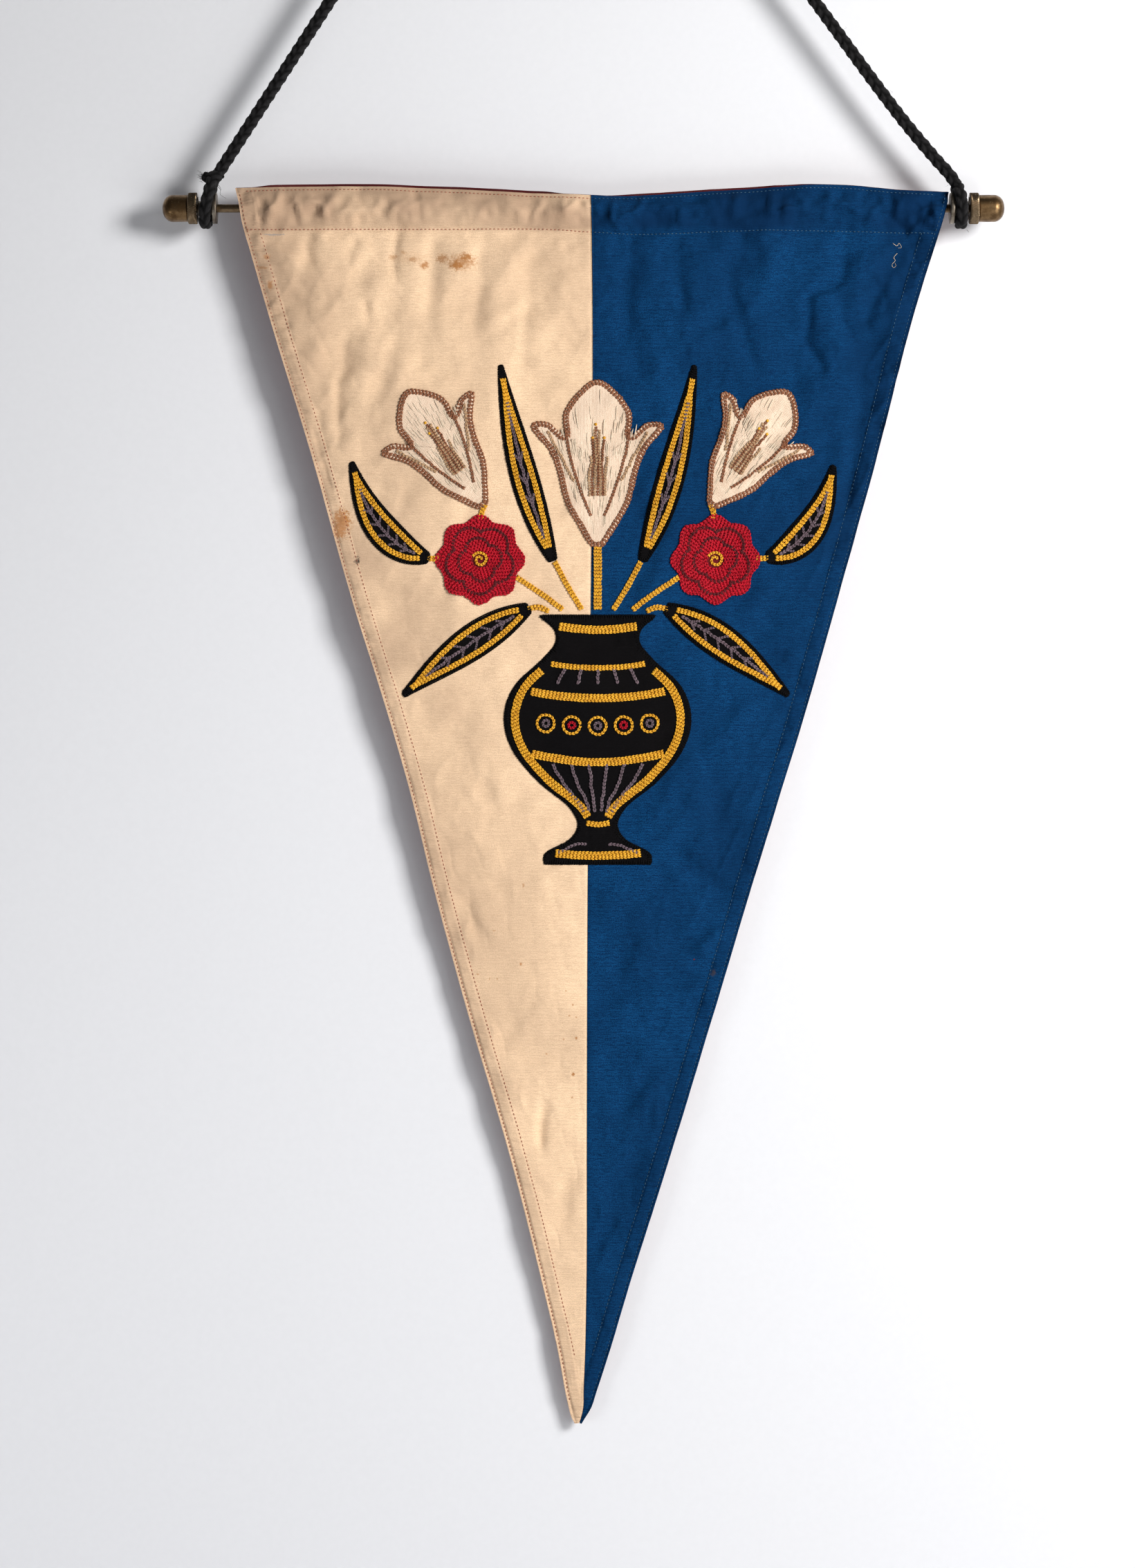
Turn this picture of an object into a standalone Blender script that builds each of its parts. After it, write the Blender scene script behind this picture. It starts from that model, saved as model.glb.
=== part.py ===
"""Church banner: a two-colour pointed cloth on a brass rod, hung by a black cord.

Metres, +Z up. X runs to the right, the front of the cloth faces -Y, and the origin is
on the underside of the cord where it passes over its hook. The cloth is described by x
and by its drop, the distance below the axis of the rod.
"""
import math
from collections import namedtuple

import bmesh
import bpy
import numpy as np

MM = 0.001
GAP = 0.3 * MM

# The rod and the turned pieces on its two ends.
ROD_Z = -304.6 * MM
ROD_RADIUS = 2.4 * MM
FLANGE_LEFT_X = -196.8 * MM
FLANGE_RIGHT_X = 226.8 * MM
FLANGE_RADIUS = 9.0 * MM
FLANGE_THICKNESS = 2.6 * MM
FLANGE_CHAMFER = 0.6 * MM
NECK_RADIUS = 4.2 * MM
NECK_END = 11.0 * MM
KNOB_START = NECK_END + GAP
COLLAR_RADIUS = 9.1 * MM
COLLAR_END = 17.0 * MM
COLLAR_CHAMFER = 0.7 * MM
DOME_RADIUS = 7.8 * MM
DOME_DEPTH = 0.8 * DOME_RADIUS
DOME_ANGLES = (30.0, 55.0, 75.0)
KNOB_END = 31.6 * MM
BORE_DEPTH = 8.0 * MM
TURNED_SIDES = 20

# The cord, which is limp and braided, and its loops over the necks.
CORD_RADIUS = 3.8 * MM
CORD_STEP = 4.0 * CORD_RADIUS
LOOP_RADIUS = 9.0 * MM
LOOP_RISE = 0.6 * MM
LOOP_STEPS = 24
LOOP_SIDES = 8
KNOT_SHIFT = 3.0 * MM
KNOT_RISE = 18.2 * MM
KNOT_RADII = (7.2 * MM, 6.0 * MM, 3.9 * MM)
KNOT_LUMPS = 3
KNOT_LUMP_DEPTH = 0.06
KNOT_TWIST = 4.0
TAIL_LENGTH = 8.0 * MM
TAIL_RADIUS = 2.7 * MM
TAIL_TAPER = 0.9
TAIL_TURN = math.radians(-60.0)

# The cloth, its heading and how far the backing stands above the front.
CLOTH = 1.0 * MM
HALF_STACK = (CLOTH + GAP) / 2
CHANNEL_OPENING = 3.1 * MM
CHANNEL_SHARPNESS = 1.2
PUCKER_ROUNDNESS = 0.7
BACKING_PUCKER_SHARE = 0.6
NOMINAL_TOP = -12.0 * MM
NOMINAL_STITCH = 12.0 * MM
BACKING_PROUD = 1.6 * MM
BACKING_INSET = 0.4 * MM
TIP_DROP = 702.6 * MM
CLOTH_COLUMNS = 20
HEADING_ROWS = 6
BODY_ROWS = 26
ROW_CROWDING = 1.25
BODY_END = 671.0 * MM
TIP_ROWS = (684.0 * MM, 695.0 * MM, 699.6 * MM, TIP_DROP)
FOLD_FADE_IN = 14.0 * MM
RUFFLE_HEIGHT = 0.9 * MM
RUFFLE_LENGTH = 61.0 * MM
RUFFLE_START = 3.6 * MM
RUFFLE_FADE = 4.0 * MM

# A fold rises and falls over these shares of its length, and runs a little past both ends.
FOLD_RISE = 0.2
FOLD_LEAD = 0.08
FOLD_FALL = 0.45
FOLD_TRAIL = 0.1

# The sewn design: an urn with flowers, measured from the middle of the urn's foot.
PATCH = 1.0 * MM
PATCH_GAP = 0.5 * MM
FOOT_X = 23.2 * MM
FOOT_DROP = 379.4 * MM
URN_COLUMNS = 4
URN_ROWS = 20
LEAF_ROWS = 10
LEAF_BLUNTNESS = 0.06
LEAF_REACH = 0.9
LEAF_SWELL = 0.85
FLOWER_POINTS = 32
FLOWER_RINGS = 2
ROSE_RADIUS = 24.0 * MM
ROSE_LOBES = 8
ROSE_LOBE_DEPTH = 0.07

Section = namedtuple("Section", "drop left seam right")
SECTIONS = [Section(*(size * MM for size in row)) for row in (
    (-12.0, -186.4, 19.4, 226.2),
    (-4.0, -184.4, 19.5, 224.8),
    (8.0, -182.4, 19.8, 221.6),
    (23.4, -178.0, 20.0, 216.8),
    (63.4, -166.4, 20.4, 204.8),
    (143.4, -142.0, 20.2, 184.4),
    (223.4, -119.6, 19.4, 162.4),
    (303.4, -94.8, 18.4, 139.6),
    (343.4, -83.6, 18.0, 127.2),
    (383.4, -74.0, 17.6, 114.8),
    (463.4, -52.4, 17.2, 90.8),
    (543.4, -28.8, 17.0, 66.4),
    (623.4, -8.4, 16.8, 41.2),
    (663.4, 0.8, 16.0, 29.2),
    (683.4, 4.4, 15.2, 22.8),
    (694.6, 6.8, 14.8, 18.8),
    (699.4, 8.2, 13.6, 15.8),
    (702.6, 10.0, 12.6, 14.0))]

HeadingPoint = namedtuple("HeadingPoint", "x top stitch")
HEADING = [HeadingPoint(*(size * MM for size in row)) for row in (
    (-187.0, 11.8, 12.2),
    (-126.0, 12.6, 12.2),
    (-64.0, 11.2, 12.2),
    (-2.0, 8.2, 12.4),
    (38.0, 7.4, 15.0),
    (104.0, 11.0, 13.2),
    (164.0, 13.6, 13.0),
    (208.0, 9.8, 14.4),
    (227.0, 9.4, 15.0))]

# Ridges of the heading, from the top edge to the stitching.
Pucker = namedtuple("Pucker", "top_x low_x width height")
PUCKERS = [Pucker(*(size * MM for size in row)) for row in (
    (-168.0, -163.0, 8.0, 1.2),
    (-146.0, -152.0, 8.0, 1.6),
    (-124.0, -132.0, 9.0, 1.1),
    (-97.0, -103.0, 8.0, 1.3),
    (-76.0, -80.0, 8.0, 1.7),
    (-52.0, -60.0, 9.0, 1.0),
    (-30.0, -24.0, 8.0, 1.2),
    (-4.0, -8.0, 8.0, 0.9),
    (34.0, 42.0, 9.0, 1.0),
    (70.0, 64.0, 8.0, 1.3),
    (92.0, 88.0, 8.0, 1.5),
    (114.0, 118.0, 9.0, 1.2),
    (144.0, 140.0, 9.0, 1.0),
    (172.0, 170.0, 8.0, 1.7),
    (198.0, 204.0, 8.0, 1.4))]

# Ridges of the hanging cloth: the crest's two ends, its width on either side, its height.
Fold = namedtuple("Fold", "top_x top_drop low_x low_drop left_width right_width height")
FOLDS = [Fold(*(size * MM for size in row)) for row in (
    (-158.0, 16.0, -150.0, 96.0, 7.0, 8.0, 1.4),
    (-134.0, 14.0, -142.0, 108.0, 8.0, 9.0, 2.2),
    (-104.0, 34.0, -122.0, 150.0, 7.0, 9.0, 3.0),
    (-85.0, 12.0, -94.0, 106.0, 7.0, 10.0, 3.0),
    (-60.0, 14.0, -64.0, 92.0, 9.0, 10.0, 2.4),
    (-26.0, 14.0, -40.0, 140.0, 8.0, 12.0, 2.6),
    (-2.0, 12.0, -8.0, 84.0, 8.0, 9.0, 1.4),
    (54.0, 14.0, 58.0, 104.0, 8.0, 10.0, 2.4),
    (82.0, 12.0, 84.0, 62.0, 7.0, 8.0, 1.8),
    (108.0, 28.0, 126.0, 118.0, 8.0, 14.0, 3.4),
    (150.0, 40.0, 162.0, 112.0, 7.0, 8.0, 2.8),
    (177.0, 12.0, 172.0, 60.0, 7.0, 9.0, 2.4),
    (198.0, 20.0, 186.0, 90.0, 7.0, 8.0, 1.5),
    (156.0, 150.0, 142.0, 270.0, 14.0, 16.0, 1.6),
    (-112.0, 190.0, -100.0, 280.0, 13.0, 14.0, 1.6),
    (-44.0, 440.0, -20.0, 560.0, 9.0, 10.0, 1.5),
    (60.0, 420.0, 44.0, 540.0, 10.0, 10.0, 1.8),
    (86.0, 404.0, 62.0, 470.0, 8.0, 9.0, 1.5))]

# Broad bellies of the cloth towards the front.
Belly = namedtuple("Belly", "x drop width height reach")
BELLIES = [Belly(*(size * MM for size in row)) for row in (
    (-70.0, 190.0, 62.0, 3.0, 150.0),
    (120.0, 170.0, 55.0, 4.0, 130.0),
    (24.0, 330.0, 80.0, 2.5, 170.0),
    (10.0, 640.0, 70.0, 3.5, 110.0))]

# The cord's route from the left knot over the hook to the right loop.
CordPoint = namedtuple("CordPoint", "x y z")
CORD_ROUTE = [CordPoint(*(size * MM for size in row)) for row in (
    (-195.0, -1.0, -282.8),
    (-187.4, -0.8, -271.0),
    (-170.0, -0.5, -244.0),
    (-150.6, -0.2, -214.0),
    (-131.2, 0.0, -184.0),
    (-110.6, 0.0, -152.0),
    (-89.9, 0.0, -120.0),
    (-69.2, 0.0, -88.0),
    (-48.6, 0.0, -56.0),
    (-33.1, 0.0, -32.0),
    (-17.2, 0.0, -7.0),
    (-9.5, 0.0, 1.2),
    (0.0, 0.0, 3.8),
    (9.5, 0.0, 1.2),
    (17.2, 0.0, -5.6),
    (30.5, 0.0, -23.0),
    (43.2, 0.0, -40.0),
    (66.5, 0.0, -72.0),
    (89.9, 0.0, -104.0),
    (113.3, 0.0, -136.0),
    (136.6, 0.0, -168.0),
    (160.0, -0.2, -200.0),
    (180.4, -0.6, -228.0),
    (200.0, -1.1, -254.0),
    (217.4, -1.8, -275.0),
    (225.0, -2.2, -283.2),
    (229.6, -2.6, -289.0))]

# The urn's outline: half its width at heights above its foot.
UrnPoint = namedtuple("UrnPoint", "height half_width")
URN = [UrnPoint(*(size * MM for size in row)) for row in (
    (0.0, 31.0),
    (6.0, 30.0),
    (13.0, 17.0),
    (22.0, 11.0),
    (32.0, 15.0),
    (48.0, 34.0),
    (66.0, 49.0),
    (86.0, 54.0),
    (104.0, 47.0),
    (118.0, 32.0),
    (128.0, 24.0),
    (136.0, 25.0),
    (144.0, 34.0))]

# A leaf's midrib as a bent line, with its greatest half width.
Leaf = namedtuple("Leaf", "name base_x base_up bend_x bend_up tip_x tip_up half_width")
LEAVES = [Leaf(row[0], *(size * MM for size in row[1:])) for row in (
    ("leaf_low_left", -40.0, 148.0, -74.0, 130.0, -112.0, 98.0, 9.5),
    ("leaf_low_right", 40.0, 148.0, 74.0, 130.0, 110.0, 98.0, 9.5),
    ("leaf_out_left", -98.0, 177.0, -130.0, 184.0, -142.0, 232.0, 9.0),
    ("leaf_out_right", 98.0, 177.0, 128.0, 184.0, 136.0, 230.0, 9.0),
    ("leaf_high_left", -26.0, 176.0, -46.0, 225.0, -56.0, 288.0, 7.5),
    ("leaf_high_right", 26.0, 176.0, 46.0, 225.0, 56.0, 288.0, 7.5))]

# A lily stands on its base and leans by its turn, in degrees clockwise.
Lily = namedtuple("Lily", "name base_x base_up height turn")
LILIES = [
    Lily("lily_middle", 0.0, 184.0 * MM, 96.0 * MM, 0.0),
    Lily("lily_left", -66.0 * MM, 207.0 * MM, 80.0 * MM, -34.0),
    Lily("lily_right", 66.0 * MM, 207.0 * MM, 80.0 * MM, 34.0)]

# Half of a lily's outline, in parts of its height, from its base to its tip.
LILY_OUTLINE = (
    (0.035, 0.0), (0.10, 0.10), (0.19, 0.26), (0.235, 0.44), (0.29, 0.58),
    (0.40, 0.72), (0.30, 0.74), (0.195, 0.66), (0.20, 0.80), (0.11, 0.93))
LILY_TIP = (0.0, 1.0)
LILY_CENTRE = 0.5

Rose = namedtuple("Rose", "name x up")
ROSES = [
    Rose("rose_left", -68.0 * MM, 176.0 * MM),
    Rose("rose_right", 68.0 * MM, 176.0 * MM)]

Finish = namedtuple("Finish", "name colour roughness metallic")
CREAM = Finish("cream_cotton", (0.74, 0.53, 0.35), 0.85, 0.0)
BLUE = Finish("blue_cotton", (0.012, 0.06, 0.16), 0.85, 0.0)
RED_BACKING = Finish("dark_red_cotton", (0.09, 0.012, 0.012), 0.85, 0.0)
BLACK = Finish("black_cotton", (0.012, 0.011, 0.013), 0.9, 0.0)
SATIN = Finish("cream_satin", (0.80, 0.70, 0.56), 0.5, 0.0)
RED = Finish("red_stitching", (0.32, 0.02, 0.015), 0.8, 0.0)
BRASS = Finish("aged_brass", (0.20, 0.13, 0.07), 0.35, 1.0)
CORD = Finish("black_cord", (0.008, 0.008, 0.009), 0.9, 0.0)


def clear_scene():
    """Remove every object that the scene starts with."""
    for item in list(bpy.data.objects):
        bpy.data.objects.remove(item, do_unlink=True)


def material(finish):
    """Give the material of a finish, made once."""
    known = bpy.data.materials.get(finish.name)
    if known:
        return known
    made = bpy.data.materials.new(finish.name)
    made.use_nodes = True
    shader = made.node_tree.nodes["Principled BSDF"]
    shader.inputs["Base Color"].default_value = (*finish.colour, 1.0)
    shader.inputs["Roughness"].default_value = finish.roughness
    shader.inputs["Metallic"].default_value = finish.metallic
    return made


def add_object(name, bm, finish, smooth_angle=40.0):
    """Turn a bmesh into an object with outward faces, shaded smooth."""
    bmesh.ops.recalc_face_normals(bm, faces=bm.faces)
    if bm.calc_volume(signed=True) < 0:
        bmesh.ops.reverse_faces(bm, faces=bm.faces)
    mesh = bpy.data.meshes.new(name)
    bm.to_mesh(mesh)
    bm.free()
    mesh.materials.append(material(finish))
    mesh.shade_smooth()
    mesh.set_sharp_from_angle(angle=math.radians(smooth_angle))
    item = bpy.data.objects.new(name, mesh)
    bpy.context.scene.collection.objects.link(item)
    return item


def smooth_line(at, rows, column):
    """Read a smooth curve through a table's column at the places given."""
    places = np.array([row[0] for row in rows])
    values = np.array([getattr(row, column) for row in rows])
    slopes = np.gradient(values, places)
    at = np.clip(at, places[0], places[-1])
    i = np.clip(np.searchsorted(places, at) - 1, 0, len(places) - 2)
    span = places[i + 1] - places[i]
    t = (at - places[i]) / span
    start = (1 + 2 * t) * (1 - t) ** 2 * values[i] + t * (1 - t) ** 2 * span * slopes[i]
    end = t * t * (3 - 2 * t) * values[i + 1] + t * t * (t - 1) * span * slopes[i + 1]
    return start + end


def smooth_step(t):
    """Rise gently from 0 to 1 as t does."""
    t = np.clip(t, 0.0, 1.0)
    return t * t * (3 - 2 * t)


def smooth_path(points, steps):
    """Give points along a smooth curve through the points, steps for each stretch."""
    p = np.array(points)
    ends = np.vstack([2 * p[0] - p[1], p, 2 * p[-1] - p[-2]])
    curve = []
    for k in range(len(p) - 1):
        a, b, c, d = ends[k:k + 4]
        t = np.linspace(0, 1, steps, endpoint=False)[:, None]
        curve.append(b + 0.5 * t * (c - a) + t * t * (a - 2.5 * b + 2 * c - 0.5 * d)
                     + t ** 3 * (1.5 * (b - c) + 0.5 * (d - a)))
    return np.vstack(curve + [p[-1:]])


def even_path(points, step):
    """Give points about one step apart along a smooth curve through the points."""
    fine = smooth_path(points, 24)
    lengths = np.concatenate([[0], np.cumsum(np.linalg.norm(np.diff(fine, axis=0), axis=1))])
    count = max(2, round(lengths[-1] / step)) + 1
    places = np.linspace(0, lengths[-1], count)
    return np.column_stack([np.interp(places, lengths, fine[:, k]) for k in range(3)])


def channel_opening(x, drop):
    """Give how far each layer of the heading stands off to let the rod through."""
    limit = np.where(drop < 0, smooth_line(x, HEADING, "top"), smooth_line(x, HEADING, "stitch"))
    return CHANNEL_OPENING * np.cos(np.pi / 2 * np.clip(np.abs(drop) / limit, 0, 1)) ** CHANNEL_SHARPNESS


def pucker_height(x, drop):
    """Give the outward ridges of the heading, which end at its stitching."""
    top = smooth_line(x, HEADING, "top")
    stitch = smooth_line(x, HEADING, "stitch")
    down = np.clip((drop + top) / (top + stitch), 0, 1)
    height = np.zeros_like(x)
    for row in PUCKERS:
        crest = row.top_x + (row.low_x - row.top_x) * down
        height += row.height * np.exp(-((x - crest) / row.width) ** 2)
    return height * np.sin(np.pi * down) ** PUCKER_ROUNDNESS


def body_depth(x, drop):
    """Give how far both layers stand forward below the heading's stitching."""
    depth = np.zeros_like(x)
    for row in FOLDS:
        along = (drop - row.top_drop) / (row.low_drop - row.top_drop)
        crest = row.top_x + (row.low_x - row.top_x) * along
        width = np.where(x < crest, row.left_width, row.right_width)
        fade = (smooth_step((along + FOLD_LEAD) / FOLD_RISE)
                * smooth_step((1 + FOLD_TRAIL - along) / FOLD_FALL))
        depth += row.height * np.exp(-((x - crest) / width) ** 2) * fade
    for row in BELLIES:
        distance = ((x - row.x) / row.width) ** 2 + ((drop - row.drop) / row.reach) ** 2
        depth += row.height * np.exp(-distance)
    stitch = smooth_line(x, HEADING, "stitch")
    return depth * smooth_step((drop - stitch) / FOLD_FADE_IN)


def ruffle(x, drop):
    """Give the slight wave of the top edge, clear of the rod."""
    wave = RUFFLE_HEIGHT * np.sin(2 * np.pi * x / RUFFLE_LENGTH)
    return wave * smooth_step((-drop - RUFFLE_START) / RUFFLE_FADE)


def front_y(x, drop):
    """Give the middle of the front layer's thickness."""
    forward = body_depth(x, drop) + ruffle(x, drop)
    return -forward - HALF_STACK - channel_opening(x, drop) - pucker_height(x, drop)


def backing_y(x, drop):
    """Give the middle of the backing's thickness."""
    forward = body_depth(x, drop) + ruffle(x, drop)
    back = HALF_STACK + channel_opening(x, drop)
    return back - forward + BACKING_PUCKER_SHARE * pucker_height(x, drop)


def grid_faces(rows, columns):
    """Give the triangles of a grid of points, all cut along the same diagonal."""
    faces = []
    for i in range(rows - 1):
        for j in range(columns - 1):
            a = i * columns + j
            b = a + columns
            faces += [(a, a + 1, b + 1), (a, b + 1, b)]
    return faces


def rim_of_grid(rows, columns):
    """Give the points round the edge of a grid, in order."""
    top = list(range(columns))
    right = [i * columns + columns - 1 for i in range(1, rows)]
    bottom = [(rows - 1) * columns + j for j in range(columns - 2, -1, -1)]
    left = [i * columns for i in range(rows - 2, 0, -1)]
    return top + right + bottom + left


def plate(name, x, drop, middle, thickness, faces, rim, finish):
    """Make a thin closed solid that follows a surface.

    Its points lie at x and drop, its middle is at the depths given, and it is as thick as
    asked for, with walls along the rim.
    """
    count = len(x)
    bm = bmesh.new()
    for side in (-0.5, 0.5):
        for px, py, pz in zip(x, middle + side * thickness, ROD_Z - drop):
            bm.verts.new((px, py, pz))
    bm.verts.ensure_lookup_table()
    for a, b, c in faces:
        bm.faces.new([bm.verts[k] for k in (a, b, c)])
        bm.faces.new([bm.verts[count + k] for k in (c, b, a)])
    for a, b in zip(rim, rim[1:] + rim[:1]):
        bm.faces.new([bm.verts[k] for k in (b, a, count + a)])
        bm.faces.new([bm.verts[k] for k in (b, count + a, count + b)])
    return add_object(name, bm, finish)


def cloth_rows():
    """Give the rows of the cloth as nominal drops: the heading, the body and the tip."""
    heading = np.linspace(NOMINAL_TOP, NOMINAL_STITCH, HEADING_ROWS)
    down = np.linspace(0, 1, BODY_ROWS)[1:] ** ROW_CROWDING
    body = NOMINAL_STITCH + (BODY_END - NOMINAL_STITCH) * down
    return np.concatenate([heading, body, TIP_ROWS])


def cloth_points(nominal, left, right, columns):
    """Spread points over the cloth between two edges, which are given at each row."""
    across = np.linspace(0, 1, columns)
    x = left[:, None] + (right - left)[:, None] * across
    drop = np.repeat(nominal[:, None], columns, axis=1)
    in_heading = drop <= NOMINAL_STITCH
    share = (drop - NOMINAL_TOP) / (NOMINAL_STITCH - NOMINAL_TOP)
    top = smooth_line(x, HEADING, "top")
    stitch = smooth_line(x, HEADING, "stitch")
    below = stitch + (TIP_DROP - stitch) * (drop - NOMINAL_STITCH) / (TIP_DROP - NOMINAL_STITCH)
    return x, np.where(in_heading, -top + (top + stitch) * share, below)


def cloth_piece(name, x, drop, depth, finish):
    """Make one layer of the cloth from its grid of points."""
    rows, columns = x.shape
    x, drop = x.ravel(), drop.ravel()
    return plate(name, x, drop, depth(x, drop), CLOTH, grid_faces(rows, columns),
                 rim_of_grid(rows, columns), finish)


def build_cloth():
    """Make the cream and blue halves of the front, and the backing behind them."""
    nominal = cloth_rows()
    left = smooth_line(nominal, SECTIONS, "left")
    seam = smooth_line(nominal, SECTIONS, "seam")
    right = smooth_line(nominal, SECTIONS, "right")
    cream = cloth_points(nominal, left, seam - GAP / 2, CLOTH_COLUMNS)
    blue = cloth_points(nominal, seam + GAP / 2, right, CLOTH_COLUMNS)
    cloth_piece("front_cream", *cream, front_y, CREAM)
    cloth_piece("front_blue", *blue, front_y, BLUE)
    left_half = cloth_points(nominal, left + BACKING_INSET, seam, CLOTH_COLUMNS)
    right_half = cloth_points(nominal, seam, right - BACKING_INSET, CLOTH_COLUMNS)
    x = np.hstack([left_half[0][:, :-1], right_half[0]])
    drop = np.hstack([left_half[1][:, :-1], right_half[1]])
    drop[0] -= BACKING_PROUD
    drop[-1] -= BACKING_INSET
    cloth_piece("backing", x, drop, backing_y, RED_BACKING)


def turned(name, profile, x, side, finish):
    """Turn a closed profile of (distance outwards, radius) about the rod's axis."""
    bm = bmesh.new()
    rings = []
    for k in range(TURNED_SIDES):
        angle = 2 * math.pi * k / TURNED_SIDES
        cos, sin = math.cos(angle), math.sin(angle)
        rings.append([bm.verts.new((x + side * out, r * cos, ROD_Z + r * sin))
                      for out, r in profile])
    for k, ring in enumerate(rings):
        after = rings[(k + 1) % TURNED_SIDES]
        for j in range(len(profile)):
            n = (j + 1) % len(profile)
            bm.faces.new([ring[j], ring[n], after[n], after[j]])
    bmesh.ops.remove_doubles(bm, verts=bm.verts, dist=1e-6)
    return add_object(name, bm, finish)


def spool_profile():
    """Give the flange with the neck that the cord's loop lies on."""
    bore = ROD_RADIUS + GAP
    return [(0, bore), (0, FLANGE_RADIUS - FLANGE_CHAMFER), (FLANGE_CHAMFER, FLANGE_RADIUS),
            (FLANGE_THICKNESS - FLANGE_CHAMFER, FLANGE_RADIUS),
            (FLANGE_THICKNESS, FLANGE_RADIUS - FLANGE_CHAMFER),
            (FLANGE_THICKNESS, NECK_RADIUS), (NECK_END, NECK_RADIUS), (NECK_END, bore)]


def knob_profile():
    """Give the collar and its domed cap, with the bore that the rod ends in."""
    bore = ROD_RADIUS + GAP
    flank_end = KNOB_END - DOME_DEPTH
    profile = [(KNOB_START + BORE_DEPTH, 0), (KNOB_START + BORE_DEPTH, bore),
               (KNOB_START, bore), (KNOB_START, COLLAR_RADIUS - COLLAR_CHAMFER),
               (KNOB_START + COLLAR_CHAMFER, COLLAR_RADIUS),
               (COLLAR_END - COLLAR_CHAMFER, COLLAR_RADIUS),
               (COLLAR_END, DOME_RADIUS), (flank_end, DOME_RADIUS)]
    for angle in DOME_ANGLES:
        reach = math.radians(angle)
        profile.append((flank_end + DOME_DEPTH * math.sin(reach), DOME_RADIUS * math.cos(reach)))
    return profile + [(KNOB_END, 0)]


def build_rod():
    """Make the rod, which ends inside the two knobs."""
    reach = KNOB_START + BORE_DEPTH - GAP
    left, right = FLANGE_LEFT_X - reach, FLANGE_RIGHT_X + reach
    turned("rod", [(0, 0), (0, ROD_RADIUS), (right - left, ROD_RADIUS), (right - left, 0)],
           left, 1, BRASS)


def build_ends():
    """Make the spool and the knob on each end of the rod."""
    for word, x, side in (("left", FLANGE_LEFT_X, -1), ("right", FLANGE_RIGHT_X, 1)):
        turned("spool_" + word, spool_profile(), x, side, BRASS)
        turned("knob_" + word, knob_profile(), x, side, BRASS)


def neck_middle(x, side):
    """Give the middle of a spool's neck."""
    return x + side * (FLANGE_THICKNESS + NECK_END) / 2


def build_loops():
    """Make the loop of cord over each neck, a ring round the rod's axis."""
    for word, x, side in (("left", FLANGE_LEFT_X, -1), ("right", FLANGE_RIGHT_X, 1)):
        bm = bmesh.new()
        middle = neck_middle(x, side)
        rings = []
        for k in range(LOOP_STEPS):
            round_neck = 2 * math.pi * k / LOOP_STEPS
            ring = []
            for j in range(LOOP_SIDES):
                angle = 2 * math.pi * j / LOOP_SIDES
                r = LOOP_RADIUS + CORD_RADIUS * math.cos(angle)
                ring.append(bm.verts.new((middle + CORD_RADIUS * math.sin(angle),
                                          r * math.cos(round_neck),
                                          ROD_Z + LOOP_RISE + r * math.sin(round_neck))))
            rings.append(ring)
        for k, ring in enumerate(rings):
            after = rings[(k + 1) % LOOP_STEPS]
            for j in range(LOOP_SIDES):
                n = (j + 1) % LOOP_SIDES
                bm.faces.new([ring[j], ring[n], after[n], after[j]])
        add_object("cord_loop_" + word, bm, CORD, 60.0)


def build_knot():
    """Make the knot over the left neck: a lumpy ball with its cut end pointing up and out."""
    bm = bmesh.new()
    bmesh.ops.create_icosphere(bm, subdivisions=2, radius=1.0)
    middle = neck_middle(FLANGE_LEFT_X, -1) + KNOT_SHIFT
    for vert in bm.verts:
        angle = math.atan2(vert.co.y, vert.co.x)
        wave = math.cos(KNOT_LUMPS * angle + KNOT_TWIST * vert.co.z)
        lump = 1.0 - KNOT_LUMP_DEPTH * (1 - wave)
        vert.co = (middle + KNOT_RADII[0] * lump * vert.co.x, KNOT_RADII[1] * lump * vert.co.y,
                   ROD_Z + KNOT_RISE + KNOT_RADII[2] * vert.co.z)
    knot = add_object("cord_knot_left", bm, CORD, 60.0)
    tail_bm = bmesh.new()
    bmesh.ops.create_cone(tail_bm, cap_ends=True, segments=10, radius1=TAIL_RADIUS,
                          radius2=TAIL_TAPER * TAIL_RADIUS, depth=TAIL_LENGTH)
    tail = add_object("tail_shape", tail_bm, CORD)
    tail.location = (middle + math.sin(TAIL_TURN) * TAIL_LENGTH / 2, 0.0,
                     ROD_Z + KNOT_RISE + math.cos(TAIL_TURN) * TAIL_LENGTH / 2)
    tail.rotation_euler = (0.0, TAIL_TURN, 0.0)
    tail.hide_render = True
    tail.display_type = "WIRE"
    union = knot.modifiers.new("tail", "BOOLEAN")
    union.operation = "UNION"
    union.object = tail


def build_cord():
    """Make the cord as one tube along its route over the hook."""
    curve = bpy.data.curves.new("cord", "CURVE")
    curve.dimensions = "3D"
    curve.bevel_depth = CORD_RADIUS
    curve.bevel_resolution = 3
    curve.use_fill_caps = True
    points = even_path(CORD_ROUTE, CORD_STEP)
    spline = curve.splines.new("POLY")
    spline.points.add(len(points) - 1)
    for point, place in zip(spline.points, points):
        point.co = (*place, 1.0)
    curve.materials.append(material(CORD))
    item = bpy.data.objects.new("cord", curve)
    bpy.context.scene.collection.objects.link(item)


def patch(name, side, up, faces, rim, finish):
    """Make a piece that is sewn on the front, at places given from the urn's foot."""
    x = FOOT_X + side
    drop = FOOT_DROP - up
    middle = front_y(x, drop) - CLOTH / 2 - PATCH_GAP - PATCH / 2
    return plate(name, x, drop, middle, PATCH, faces, rim, finish)


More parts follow.
